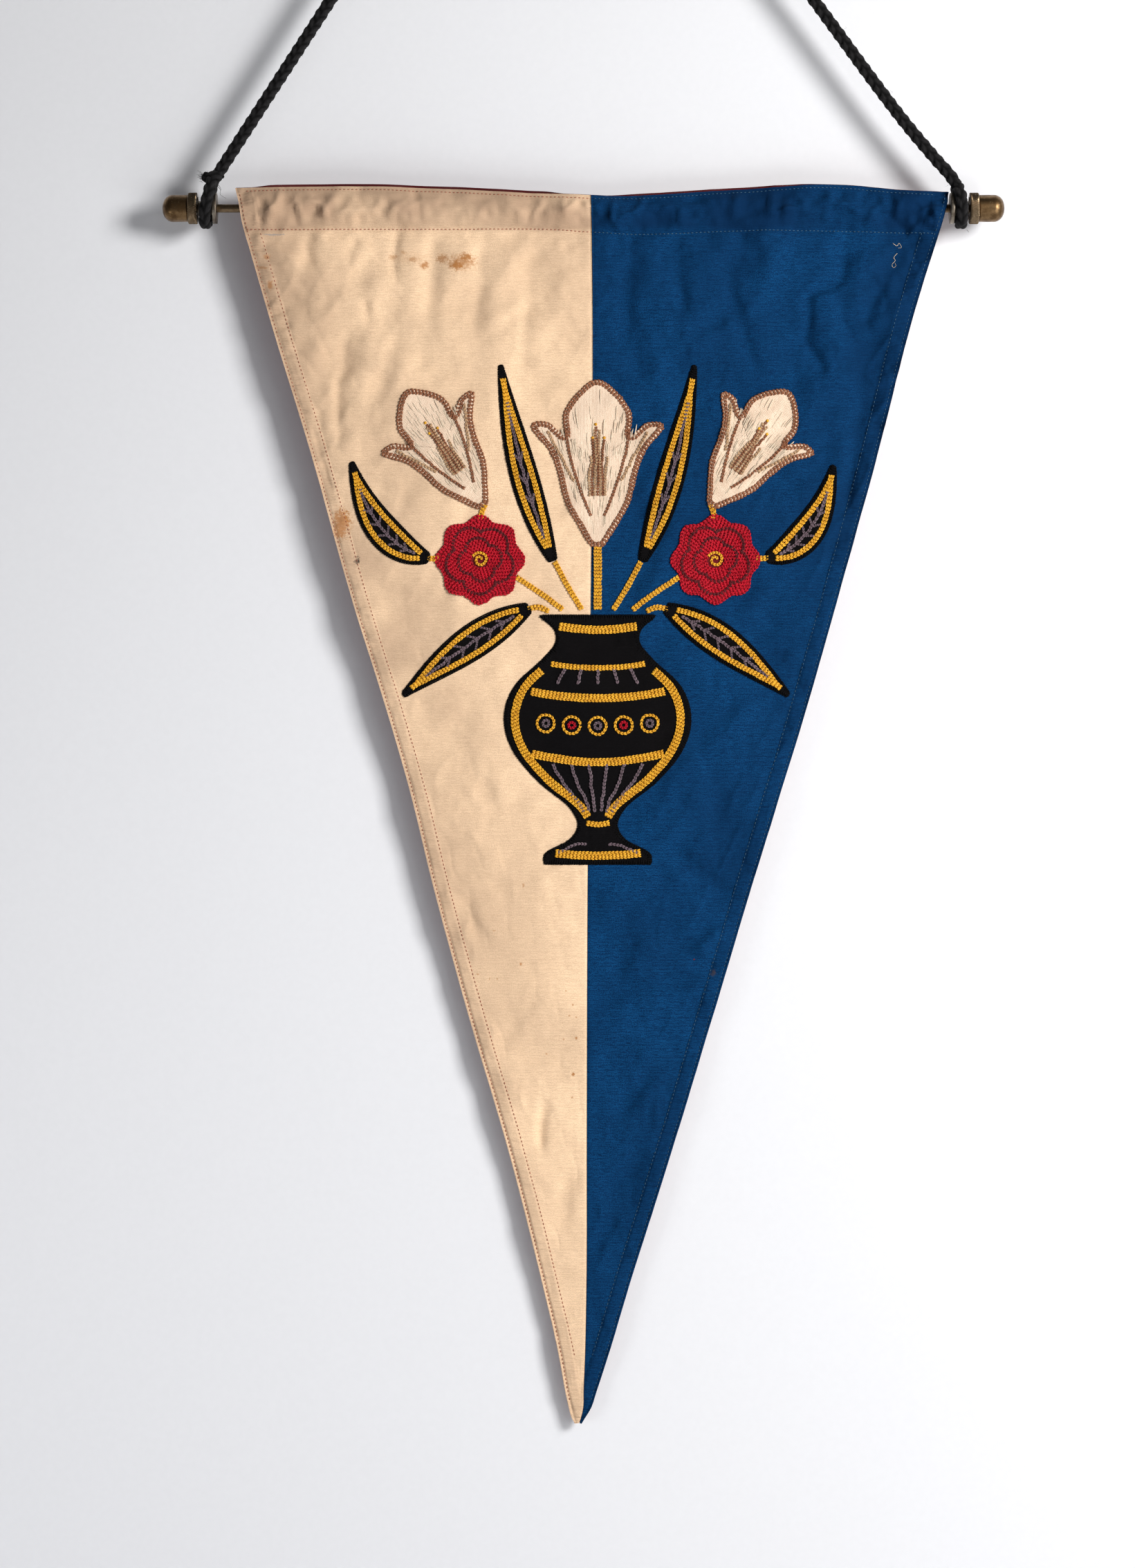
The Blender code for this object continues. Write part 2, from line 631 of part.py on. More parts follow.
def build_urn():
    """Make the urn from its half widths."""
    up = np.linspace(0, URN[-1].height, URN_ROWS)
    half = smooth_line(up, URN, "half_width")
    across = np.linspace(-1, 1, URN_COLUMNS + 1)
    side = half[:, None] * across
    heights = np.repeat(up[:, None], URN_COLUMNS + 1, axis=1)
    patch("urn", side.ravel(), heights.ravel(), grid_faces(*side.shape),
          rim_of_grid(*side.shape), BLACK)


def build_leaves():
    """Make each leaf along its bent midrib, widest a little before its middle."""
    t = np.linspace(0, 1, LEAF_ROWS)
    for leaf in LEAVES:
        base = np.array([leaf.base_x, leaf.base_up])
        bend = np.array([leaf.bend_x, leaf.bend_up])
        tip = np.array([leaf.tip_x, leaf.tip_up])
        rib = np.outer((1 - t) ** 2, base) + np.outer(2 * t * (1 - t), bend) + np.outer(t * t, tip)
        along = np.gradient(rib, axis=0)
        along /= np.linalg.norm(along, axis=1)[:, None]
        swell = (LEAF_BLUNTNESS + LEAF_REACH * t) ** LEAF_SWELL
        half = leaf.half_width * np.sin(np.pi * swell)
        normal = np.column_stack([-along[:, 1], along[:, 0]])
        points = rib[:, None, :] + normal[:, None, :] * (half[:, None] * (-1, 0, 1))[:, :, None]
        patch(leaf.name, points[..., 0].ravel(), points[..., 1].ravel(),
              grid_faces(LEAF_ROWS, 3), rim_of_grid(LEAF_ROWS, 3), BLACK)


def round_patch(name, outline, centre, finish):
    """Make a piece whose outline can be seen from its centre, in rings of points."""
    count = len(outline)
    shares = np.linspace(0, 1, FLOWER_RINGS + 1)[1:]
    rings = [centre + share * (outline - centre) for share in shares]
    points = np.vstack([centre[None, :]] + rings)
    faces = []
    for k in range(count):
        n = (k + 1) % count
        faces.append((0, 1 + k, 1 + n))
        for ring in range(FLOWER_RINGS - 1):
            a, b = 1 + ring * count + k, 1 + ring * count + n
            faces += [(a, a + count, b + count), (a, b + count, b)]
    rim = [1 + (FLOWER_RINGS - 1) * count + k for k in range(count)]
    patch(name, points[:, 0], points[:, 1], faces, rim, finish)


def build_lilies():
    """Make each lily: two curled side petals and an upright one."""
    half = np.array(LILY_OUTLINE)
    mirrored = half[::-1] * (-1, 1)
    closed = np.vstack([half, [LILY_TIP], mirrored, half[:1]])
    fine = smooth_path(np.column_stack([closed, np.zeros(len(closed))]), 8)[:, :2]
    lengths = np.concatenate([[0], np.cumsum(np.linalg.norm(np.diff(fine, axis=0), axis=1))])
    places = np.linspace(0, lengths[-1], FLOWER_POINTS, endpoint=False)
    outline = np.column_stack([np.interp(places, lengths, fine[:, k]) for k in range(2)])
    for lily in LILIES:
        turn = math.radians(lily.turn)
        across = np.array([math.cos(turn), -math.sin(turn)])
        upward = np.array([math.sin(turn), math.cos(turn)])
        base = np.array([lily.base_x, lily.base_up])
        placed = base + lily.height * (outline[:, :1] * across + outline[:, 1:] * upward)
        centre = base + lily.height * LILY_CENTRE * upward
        round_patch(lily.name, placed, centre, SATIN)


def build_roses():
    """Make each rose: a disc with a lobed edge."""
    angle = np.linspace(0, 2 * np.pi, FLOWER_POINTS, endpoint=False)
    radius = ROSE_RADIUS * (1 + ROSE_LOBE_DEPTH * np.cos(ROSE_LOBES * angle))
    outline = np.column_stack([radius * np.cos(angle), radius * np.sin(angle)])
    for rose in ROSES:
        centre = np.array([rose.x, rose.up])
        round_patch(rose.name, centre + outline, centre, RED)


def main():
    """Build the whole banner."""
    clear_scene()
    build_cloth()
    build_rod()
    build_ends()
    build_loops()
    build_knot()
    build_cord()
    build_urn()
    build_leaves()
    build_lilies()
    build_roses()


main()
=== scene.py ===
"""The looks of a church banner: two-colour cloth on a brass rod, hung by a black cord.

Metres, +Z up, the front of the cloth faces -Y. The cloth is described by x and by its drop,
the distance below the axis of the rod. A lift is a distance in front of the cloth's face.
"""

import logging
import math
from collections.abc import Iterable, Sequence
from dataclasses import dataclass, field
from enum import Enum
from typing import ClassVar

import bpy
import numpy as np
from numpy.typing import NDArray
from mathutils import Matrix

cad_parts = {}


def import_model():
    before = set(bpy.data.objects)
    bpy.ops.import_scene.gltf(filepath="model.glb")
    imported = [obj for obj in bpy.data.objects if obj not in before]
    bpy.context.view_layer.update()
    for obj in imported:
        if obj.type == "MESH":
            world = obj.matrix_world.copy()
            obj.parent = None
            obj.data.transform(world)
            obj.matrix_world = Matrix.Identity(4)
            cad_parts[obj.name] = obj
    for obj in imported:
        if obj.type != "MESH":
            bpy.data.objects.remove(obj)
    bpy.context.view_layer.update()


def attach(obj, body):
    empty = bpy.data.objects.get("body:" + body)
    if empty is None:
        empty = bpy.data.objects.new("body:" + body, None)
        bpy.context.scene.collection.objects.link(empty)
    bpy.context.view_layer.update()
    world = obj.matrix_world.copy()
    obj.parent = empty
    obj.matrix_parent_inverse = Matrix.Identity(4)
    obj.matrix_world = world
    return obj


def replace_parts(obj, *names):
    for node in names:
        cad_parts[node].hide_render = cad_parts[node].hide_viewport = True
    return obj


Array = NDArray[np.float64]
Faces = NDArray[np.int64]
Material = bpy.types.Material
Piece = bpy.types.Object
Node = bpy.types.Node
NodeTree = bpy.types.NodeTree
Socket = bpy.types.NodeSocket

log = logging.getLogger("church_banner")
MM = 0.001
BODY = "root"
TURN = 2 * math.pi
PATH_STEPS = 24


class Thread(Enum):
    """The embroidery and sewing threads."""

    GOLD = "gold"
    MAUVE = "mauve"
    RED = "red"
    DARK_RED = "dark_red"
    BROWN = "brown"
    TAN = "tan"
    BLACK = "black"
    CREAM = "cream"
    SEWING_BROWN = "sewing_brown"
    SEWING_BLUE = "sewing_blue"


class Mark(Enum):
    """What has stained the cloth."""

    RUST = "rust"
    SOIL = "soil"
    INK = "ink"


@dataclass(frozen=True)
class Section:
    """The cloth's two edges and its seam at one drop."""

    drop: float
    left: float
    seam: float
    right: float


@dataclass(frozen=True)
class HeadingPoint:
    """How far the heading's top edge and its stitching are from the rod's axis, at one x."""

    x: float
    top: float
    stitch: float


@dataclass(frozen=True)
class Pucker:
    """A ridge of the heading, from the top edge to the stitching."""

    top_x: float
    low_x: float
    width: float
    height: float


@dataclass(frozen=True)
class Fold:
    """A ridge of the hanging cloth: its crest's two ends, its widths and its height."""

    top_x: float
    top_drop: float
    low_x: float
    low_drop: float
    left_width: float
    right_width: float
    height: float


@dataclass(frozen=True)
class Belly:
    """A broad swelling of the cloth towards the front."""

    x: float
    drop: float
    width: float
    height: float
    reach: float


@dataclass(frozen=True)
class Crease:
    """A fine ridge, or a trough where its height is negative, bowed sideways by its bow."""

    top_x: float
    top_drop: float
    low_x: float
    low_drop: float
    width: float
    height: float
    bow: float


@dataclass(frozen=True)
class Stain:
    """A mark on the cloth: its middle, its half width and half height, and its strength."""

    x: float
    drop: float
    width: float
    height: float
    strength: float
    kind: Mark


def in_mm(kind: type, rows: Iterable[Sequence[float]]) -> list:
    """Make one object of a kind from each row of sizes in millimetres."""
    return [kind(*(size * MM for size in row)) for row in rows]


# The hanging cloth, with the same sizes as the solids.
ROD_Z = -304.6 * MM
ROD_RADIUS = 2.4 * MM
HALF_STACK = 0.65 * MM
CHANNEL_OPENING = 3.1 * MM
CHANNEL_SHARPNESS = 1.2
PUCKER_ROUNDNESS = 0.7
BACKING_PUCKER_SHARE = 0.6
BACKING_PROUD = 1.6 * MM
BACKING_INSET = 0.4 * MM
NOMINAL_TOP = -12.0 * MM
NOMINAL_STITCH = 12.0 * MM
TIP_DROP = 702.6 * MM
FOLD_FADE_IN = 14.0 * MM
RUFFLE_HEIGHT = 0.9 * MM
RUFFLE_LENGTH = 61.0 * MM
RUFFLE_START = 3.6 * MM
RUFFLE_FADE = 4.0 * MM
FOLD_RISE = 0.2
FOLD_LEAD = 0.08
FOLD_FALL = 0.45
FOLD_TRAIL = 0.1

SECTIONS = in_mm(Section, (
    (-12, -186.4, 19.4, 226.2), (-4, -184.4, 19.5, 224.8), (8, -182.4, 19.8, 221.6),
    (23.4, -178, 20, 216.8), (63.4, -166.4, 20.4, 204.8), (143.4, -142, 20.2, 184.4),
    (223.4, -119.6, 19.4, 162.4), (303.4, -94.8, 18.4, 139.6), (343.4, -83.6, 18, 127.2),
    (383.4, -74, 17.6, 114.8), (463.4, -52.4, 17.2, 90.8), (543.4, -28.8, 17, 66.4),
    (623.4, -8.4, 16.8, 41.2), (663.4, 0.8, 16, 29.2), (683.4, 4.4, 15.2, 22.8),
    (694.6, 6.8, 14.8, 18.8), (699.4, 8.2, 13.6, 15.8), (702.6, 10, 12.6, 14)))

HEADING = in_mm(HeadingPoint, (
    (-187, 11.8, 12.2), (-126, 12.6, 12.2), (-64, 11.2, 12.2), (-2, 8.2, 12.4), (38, 7.4, 15),
    (104, 11, 13.2), (164, 13.6, 13), (208, 9.8, 14.4), (227, 9.4, 15)))

PUCKERS = in_mm(Pucker, (
    (-168, -163, 8, 1.2), (-146, -152, 8, 1.6), (-124, -132, 9, 1.1), (-97, -103, 8, 1.3),
    (-76, -80, 8, 1.7), (-52, -60, 9, 1), (-30, -24, 8, 1.2), (-4, -8, 8, 0.9), (34, 42, 9, 1),
    (70, 64, 8, 1.3), (92, 88, 8, 1.5), (114, 118, 9, 1.2), (144, 140, 9, 1), (172, 170, 8, 1.7),
    (198, 204, 8, 1.4)))

FOLDS = in_mm(Fold, (
    (-158, 16, -150, 96, 7, 8, 1.4), (-134, 14, -142, 108, 8, 9, 2.2),
    (-104, 34, -122, 150, 7, 9, 3), (-85, 12, -94, 106, 7, 10, 3),
    (-60, 14, -64, 92, 9, 10, 2.4), (-26, 14, -40, 140, 8, 12, 2.6), (-2, 12, -8, 84, 8, 9, 1.4),
    (54, 14, 58, 104, 8, 10, 2.4), (82, 12, 84, 62, 7, 8, 1.8), (108, 28, 126, 118, 8, 14, 3.4),
    (150, 40, 162, 112, 7, 8, 2.8), (177, 12, 172, 60, 7, 9, 2.4), (198, 20, 186, 90, 7, 8, 1.5),
    (156, 150, 142, 270, 14, 16, 1.6), (-112, 190, -100, 280, 13, 14, 1.6),
    (-44, 440, -20, 560, 9, 10, 1.5), (60, 420, 44, 540, 10, 10, 1.8),
    (86, 404, 62, 470, 8, 9, 1.5)))

BELLIES = in_mm(Belly, (
    (-70, 190, 62, 3, 150), (120, 170, 55, 4, 130), (24, 330, 80, 2.5, 170),
    (10, 640, 70, 3.5, 110)))

CREASES = in_mm(Crease, (
    (-160, -11, -168, 10, 3, 0.7, 0), (-151.6, -3, -150, 8.4, 1.3, -1.1, 1.4),
    (-144, 6, -138, -1, 2.6, -0.6, 0), (-130, -7, -136, 5, 2.6, 0.8, 0),
    (-114.8, -2, -120.4, 9, 2.4, 0.6, 0), (-104, 8, -99, -5, 2.8, -0.5, 0),
    (-81, -10.4, -80.6, 6, 1.4, -1, -1), (-62, -8, -66, 8, 2.6, -0.5, 0),
    (-40, -6, -46, 9, 2.4, 0.5, 0), (-14, -6, -18, 8, 2.4, -0.5, 0),
    (52, -4, 56, 10, 2.6, -0.6, 0), (80, -8, 76, 8, 2.2, -0.6, 0),
    (104, -8, 100, 9, 2.4, 0.6, 0), (130, -9, 128, 6, 2.6, -0.6, 0),
    (158, -10, 154, 8, 2.4, 0.6, 0), (184, -8, 186, 4, 2.4, -0.5, 0),
    (192, 4.4, 202.6, 14.2, 1.5, -0.9, 0), (-143.8, 14, -145.4, 34, 3.6, -0.8, 0),
    (-117, 14, -121, 36, 3.4, -0.7, 0), (-91.2, 13, -94.4, 43, 2.4, -1, 1),
    (-112, 54, -110, 68, 2.4, -0.9, 0), (-122, 78, -127, 138, 3.2, -1, 1.5),
    (-71, 14, -74, 60, 3.6, -0.8, 0), (-43, 14, -48, 74, 4.4, -0.8, 0),
    (-14, 20, -22, 90, 4.6, -0.8, 0), (169.6, 3.6, 165.4, 40, 2.8, -1.3, 1.6),
    (165.6, 40, 144, 52, 3, -1.3, 0), (144, 51, 143.6, 76, 3, -1.3, -1.4),
    (143.6, 75, 154, 97, 3, -1, 0), (99.6, 39, 115.6, 96, 3.2, -1.1, 1),
    (161.6, 61, 173, 77, 2.6, -0.9, 0), (204, 17, 189, 38, 3.6, -1.2, 1.2),
    (70, 15, 72, 64, 3.6, -0.8, 0), (40, 16, 40, 70, 4.6, -0.7, 0),
    (190, 40, 178, 66, 3.2, -0.7, 0), (-140, 120, -132, 168, 4, -0.8, 0),
    (176, 110, 166, 178, 4.6, -0.9, 0), (150, 300, 132, 340, 5, -0.8, 0),
    (67, 372, 97, 394, 5, -0.9, 1.6), (97, 415, 80, 433, 4.6, 0.8, 0),
    (17.8, 457.4, 77, 445.4, 3.6, -1.1, -1.2), (55.6, 499, 34, 521, 4.6, -0.9, 0),
    (30, 566, 52, 548, 5, -0.6, 0), (-43.6, 330, -34, 352, 5, -0.6, 0),
    (-56, 396, -44, 424, 4.6, -0.6, 0), (-20, 470, -36, 486, 4.2, -0.5, 0),
    (-38, 500, -32, 516, 4.4, -0.7, 0), (-7.6, 519, -8.4, 545, 3.4, -0.9, 0.8),
    (8, 560, 0, 590, 4.4, -0.6, 0), (18, 600, 34, 586, 4, -0.5, 0)))

SEWING_PITCH = 2.34 * MM
OUTER_ROW = 1.6 * MM
INNER_ROW = 8.8 * MM
EDGE_ROW = 2.0 * MM
SIDE_SLOPE = 0.29
SQUARE_TO_SIDE = math.cos(math.atan2(SIDE_SLOPE, 1.0))
SHEET_THICKNESS = 0.7 * MM
MIDDLE_X = 20.0 * MM

STAINS = [Stain(*(size * MM for size in row[:4]), *row[4:]) for row in (
    (-95.2, 28.2, 2.4, 1.6, 0.4, Mark.RUST), (-89.6, 25.8, 2, 1.2, 0.35, Mark.RUST),
    (-83.2, 29.8, 3, 1.4, 0.5, Mark.RUST), (-76.8, 33, 2.6, 2.2, 0.8, Mark.RUST),
    (-66.6, 29.2, 3.4, 2.8, 0.7, Mark.RUST), (-58.2, 33.4, 4.6, 3, 0.8, Mark.RUST),
    (-52.8, 28.4, 3.4, 2.6, 0.8, Mark.RUST), (-55.4, 31.4, 8.5, 5, 0.62, Mark.RUST),
    (-86, 29, 11, 3.6, 0.16, Mark.RUST), (-166, 44.6, 1.7, 2.8, 0.85, Mark.RUST),
    (-168, 28.2, 2.2, 1.4, 0.75, Mark.RUST), (-170.6, 34.6, 3.6, 1, 0.6, Mark.RUST),
    (-124.4, 180.2, 4.6, 6.4, 1, Mark.RUST), (-126, 187.5, 3.6, 4.4, 0.9, Mark.RUST),
    (-124.8, 183, 5.4, 8, 0.8, Mark.RUST), (-116, 203.8, 1.6, 2.8, 1, Mark.SOIL),
    (-164, 15.4, 6.6, 0.55, 0.55, Mark.INK), (-21.2, 437, 0.7, 0.9, 0.75, Mark.RUST),
    (-46, 443, 0.8, 0.6, 0.6, Mark.RUST), (-39.2, 445.8, 0.5, 0.7, 0.55, Mark.RUST),
    (-34.8, 445.8, 0.5, 0.5, 0.5, Mark.RUST), (4.8, 452.6, 0.5, 0.5, 0.6, Mark.RUST),
    (8.8, 460.6, 0.5, 0.7, 0.6, Mark.RUST), (6.8, 467, 0.6, 0.5, 0.55, Mark.RUST),
    (10.8, 467.8, 0.5, 0.5, 0.55, Mark.RUST), (10.8, 479.8, 1, 0.9, 0.85, Mark.RUST),
    (3.6, 480.6, 0.5, 0.6, 0.5, Mark.RUST), (-6.4, 489, 0.7, 0.6, 0.6, Mark.RUST),
    (9.2, 500.6, 1.1, 1, 0.85, Mark.RUST), (8.4, 514.2, 0.7, 0.6, 0.6, Mark.RUST),
    (-36.8, 417.8, 0.9, 0.5, 0.5, Mark.RUST), (-19.6, 391.4, 0.8, 1.2, 0.6, Mark.RUST),
    (90, 442, 1.6, 2, 0.8, Mark.SOIL))]


def smooth_line(at: Array, rows: Sequence, column: str) -> Array:
    """Read a smooth curve, cubic between the rows, through a table's column.

    Args:
        at: The places to read the curve at, in the table's first column.
        rows: The table, whose rows are dataclasses of one kind.
        column: The name of the column to read.

    Returns:
        The curve's value at each place.
    """
    first = next(iter(vars(rows[0])))
    places = np.array([getattr(row, first) for row in rows])
    values = np.array([getattr(row, column) for row in rows])
    slopes = np.gradient(values, places)
    at = np.clip(at, places[0], places[-1])
    i = np.clip(np.searchsorted(places, at) - 1, 0, len(places) - 2)
    span = places[i + 1] - places[i]
    t = (at - places[i]) / span
    start = (1 + 2 * t) * (1 - t) ** 2 * values[i] + t * (1 - t) ** 2 * span * slopes[i]
    end = t * t * (3 - 2 * t) * values[i + 1] + t * t * (t - 1) * span * slopes[i + 1]
    return start + end


def smooth_step(t: Array) -> Array:
    """Rise gently from 0 to 1 as t does: t squared times (3 - 2t)."""
    t = np.clip(t, 0.0, 1.0)
    return t * t * (3 - 2 * t)


def bell(distance: Array, width: Array | float) -> Array:
    """Give a bell curve: 1 at no distance, and falling as e to minus its square."""
    return np.exp(-(distance / width) ** 2)


def heading_lines(x: Array) -> tuple[Array, Array]:
    """Give how far the heading's top edge and its stitching are from the rod's axis."""
    return smooth_line(x, HEADING, "top"), smooth_line(x, HEADING, "stitch")


def smooth_path(points: Array, steps: int = PATH_STEPS) -> Array:
    """Give points along a smooth curve through the points, as a Catmull-Rom spline.

    Args:
        points: The points to pass through, one a row.
        steps: How many points to give for each stretch.

    Returns:
        The curve's points, one a row.
    """
    p = np.asarray(points, dtype=float)
    ends = np.vstack([2 * p[0] - p[1], p, 2 * p[-1] - p[-2]])
    a, b, c, d = (ends[k:k + len(p) - 1, None, :] for k in range(4))
    t = np.linspace(0, 1, steps, endpoint=False)[None, :, None]
    curve = (b + 0.5 * t * (c - a) + t * t * (a - 2.5 * b + 2 * c - 0.5 * d)
             + t ** 3 * (1.5 * (b - c) + 0.5 * (d - a)))
    return np.vstack([curve.reshape(-1, p.shape[1]), p[-1:]])


def line_lengths(points: Array) -> Array:
    """Give the distance along a line to each of its points."""
    return np.concatenate([[0.0], np.cumsum(np.linalg.norm(np.diff(points, axis=0), axis=1))])


def even_line(points: Array, step: float) -> Array:
    """Give points about one step apart along the line through the points."""
    lengths = line_lengths(points)
    places = np.linspace(0, lengths[-1], max(2, round(lengths[-1] / step)) + 1)
    return np.column_stack([np.interp(places, lengths, column) for column in points.T])


def side_steps(points: Array) -> Array:
    """Give the unit vector to the left of a flat line at each of its points."""
    along = np.gradient(points, axis=0)
    along /= np.maximum(np.linalg.norm(along, axis=1), 1e-12)[:, None]
    return np.column_stack([-along[:, 1], along[:, 0]])


def soft_noise(x: Array, y: Array, length: float, seed: int) -> Array:
    """Give smooth noise from -1 to 1: random values on a square lattice, eased between.

    Args:
        x: The first coordinates.
        y: The second coordinates.
        length: The lattice's spacing.
        seed: Which noise to give.

    Returns:
        The noise at each place.
    """
    size = 256
    lattice = np.random.default_rng(seed).uniform(-1, 1, (size, size))
    u, v = x / length + 64.5, y / length + 64.5
    i, j = np.floor(u).astype(int), np.floor(v).astype(int)
    s, t = smooth_step(u - i), smooth_step(v - j)
    near = lattice[i % size, j % size] * (1 - s) + lattice[(i + 1) % size, j % size] * s
    far = (lattice[i % size, (j + 1) % size] * (1 - s)
           + lattice[(i + 1) % size, (j + 1) % size] * s)
    return near * (1 - t) + far * t


@dataclass(frozen=True)
class Noise:
    """Smooth noise of one height and length, the same at each run."""

    height: float
    length: float
    seed: int

    def at(self, x: Array, y: Array) -> Array:
        """Give the noise at each place."""
        return self.height * soft_noise(x, y, self.length, self.seed)


def grid_quads(rows: int, columns: int, wrap_rows: bool = False,
               wrap_columns: bool = False) -> Faces:
    """Give the four-sided faces of a grid of points, numbered row by row."""
    i = np.arange(rows if wrap_rows else rows - 1)[:, None]
    j = np.arange(columns if wrap_columns else columns - 1)[None, :]
    below, after = (i + 1) % rows, (j + 1) % columns
    corners = (i * columns + j, i * columns + after, below * columns + after, below * columns + j)
    return np.stack(np.broadcast_arrays(*corners), axis=-1).reshape(-1, 4)


def grid_rim(rows: int, columns: int) -> Faces:
    """Give the points round the edge of a grid, in order."""
    top = np.arange(columns)
    right = np.arange(1, rows) * columns + columns - 1
    bottom = (rows - 1) * columns + np.arange(columns - 2, -1, -1)
    left = np.arange(rows - 2, 0, -1) * columns
    return np.concatenate([top, right, bottom, left])


def rim_walls(rim: Faces, count: int) -> Faces:
    """Give the faces from a rim to its copy, whose points are numbered count further on."""
    after = np.roll(rim, -1)
    return np.stack([rim, rim + count, after + count, after], axis=-1)


def signed_volume(points: Array, faces: Faces) -> float:
    """Add up the volume under every face: above zero where the faces point outwards."""
    a = points[faces[:, 0]]
    total = 0.0
    for k in range(1, faces.shape[1] - 1):
        total += float(np.sum(a * np.cross(points[faces[:, k]], points[faces[:, k + 1]]))) / 6
    return total


def make_piece(name: str, points: Array, face_sets: Sequence[Faces], material: Material,
               uv: Array | None = None, sharp_angle: float | None = None) -> Piece:
    """Put points and faces into a mesh that rides on the banner's body.

    Args:
        name: The piece's name.
        points: The points, one a row.
        face_sets: The faces, one array for each number of sides.
        material: The finish's material.
        uv: Two numbers a point, for a pattern that follows the surface.
        sharp_angle: The angle in degrees past which an edge is sharp, or none.

    Returns:
        The finished object.
    """
    volume = sum(signed_volume(points, faces) for faces in face_sets)
    if volume < 0:
        face_sets = [faces[:, ::-1] for faces in face_sets]
    corners = np.concatenate([faces.ravel() for faces in face_sets])
    sizes = np.concatenate([np.full(len(faces), faces.shape[1]) for faces in face_sets])
    mesh = bpy.data.meshes.new(name)
    mesh.vertices.add(len(points))
    mesh.vertices.foreach_set("co", points.astype(np.float32).ravel())
    mesh.loops.add(len(corners))
    mesh.loops.foreach_set("vertex_index", corners.astype(np.int32))
    mesh.polygons.add(len(sizes))
    starts = np.concatenate([[0], np.cumsum(sizes)[:-1]])
    mesh.polygons.foreach_set("loop_start", starts.astype(np.int32))
    mesh.update(calc_edges=True)
    mesh.polygons.foreach_set("use_smooth", np.ones(len(sizes), dtype=bool))
    if uv is not None:
        layer = mesh.uv_layers.new(name="flat")
        layer.data.foreach_set("uv", uv[corners].astype(np.float32).ravel())
    if sharp_angle is not None:
        mesh.set_sharp_from_angle(angle=math.radians(sharp_angle))
    mesh.materials.append(material)
    piece = bpy.data.objects.new(name, mesh)
    bpy.context.scene.collection.objects.link(piece)
    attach(piece, BODY)
    log.info("%s: %d points, %d faces", name, len(points), len(sizes))
    return piece


def add_mask(piece: Piece, name: str, values: Array) -> None:
    """Keep a number for each point of a piece, which its material reads."""
    mask = piece.data.attributes.new(name, "FLOAT", "POINT")
    mask.data.foreach_set("value", values.astype(np.float32))


class Wiring:
    """A node tree, with short ways to add the nodes that the finishes need."""

    def __init__(self, tree: NodeTree) -> None:
        """Keep the tree."""
        self.tree = tree

    def add(self, kind: str, sockets: dict[int | str, object] | None = None,
            **settings: object) -> Node:
        """Add a node, with its settings, and set or link its inputs."""
        node = self.tree.nodes.new(kind)
        for key, value in settings.items():
            setattr(node, key, value)
        for key, value in (sockets or {}).items():
            self.feed(value, node.inputs[key])
        return node

    def feed(self, value: object, socket: Socket) -> None:
        """Link a value to a socket, or set the socket to it."""
        if isinstance(value, Socket):
            self.tree.links.new(value, socket)
        else:
            socket.default_value = value

    def flat_map(self) -> Socket:
        """Give the piece's UV map."""
        return self.add("ShaderNodeUVMap", uv_map="flat").outputs[0]

    def mask(self, name: str) -> Socket:
        """Give the number that each point of the piece has under a name."""
        return self.add("ShaderNodeAttribute", attribute_name=name).outputs["Fac"]

    def math(self, operation: str, a: object, b: object = 0.0, c: object = 0.0) -> Socket:
        """Work out one number from up to three."""
        return self.add("ShaderNodeMath", {0: a, 1: b, 2: c}, operation=operation).outputs[0]

    def stretch(self, vector: Socket, scale: tuple[float, float, float],
                turn: float = 0.0) -> Socket:
        """Scale a pattern's coordinates, and turn them about their third axis."""
        node = self.add("ShaderNodeMapping", {"Vector": vector, "Rotation": (0.0, 0.0, turn),
                                              "Scale": scale})
        return node.outputs[0]

    def noise(self, vector: Socket, scale: float = 1.0, detail: float = 2.0,
              roughness: float = 0.5) -> Socket:
        """Give noise about one half."""
        node = self.add("ShaderNodeTexNoise", {"Vector": vector, "Scale": scale,
                                               "Detail": detail, "Roughness": roughness})
        return node.outputs[0]

    def spread(self, value: object, low: float, high: float, to_low: float = 0.0,
               to_high: float = 1.0) -> Socket:
        """Stretch a range of a value gently to another range."""
        node = self.add("ShaderNodeMapRange", {0: value, 1: low, 2: high, 3: to_low, 4: to_high},
                        interpolation_type="SMOOTHSTEP")
        return node.outputs[0]

    def mix(self, share: object, first: object, second: object) -> Socket:
        """Mix two colours."""
        node = self.add("ShaderNodeMix", {0: share, 6: first, 7: second}, data_type="RGBA")
        return node.outputs[2]

    def bump(self, height: Socket, strength: float, distance: float) -> Socket:
        """Turn a height into a normal."""
        node = self.add("ShaderNodeBump", {"Height": height, "Strength": strength,
                                           "Distance": distance})
        return node.outputs[0]

    def group(self, tree: NodeTree, **sockets: object) -> Node:
        """Add one of the shared groups, with its inputs by name."""
        return self.add("ShaderNodeGroup", sockets, node_tree=tree)


def new_group(name: str, inputs: dict[str, str],
              outputs: dict[str, str]) -> tuple[NodeTree, Wiring, dict, dict]:
    """Start a shader node group with named sockets.

    Args:
        name: The group's name.
        inputs: The kind of each input, such as Float or Vector.
        outputs: The kind of each output.

    Returns:
        The group, its wiring, its inputs' sockets and its outputs' sockets by name.
    """
    tree = bpy.data.node_groups.new(name, "ShaderNodeTree")
    for words, direction in ((inputs, "INPUT"), (outputs, "OUTPUT")):
        for word, kind in words.items():
            tree.interface.new_socket(word, in_out=direction, socket_type="NodeSocket" + kind)
    entry = tree.nodes.new("NodeGroupInput")
    leave = tree.nodes.new("NodeGroupOutput")
    return (tree, Wiring(tree), {word: entry.outputs[word] for word in inputs},
            {word: leave.inputs[word] for word in outputs})


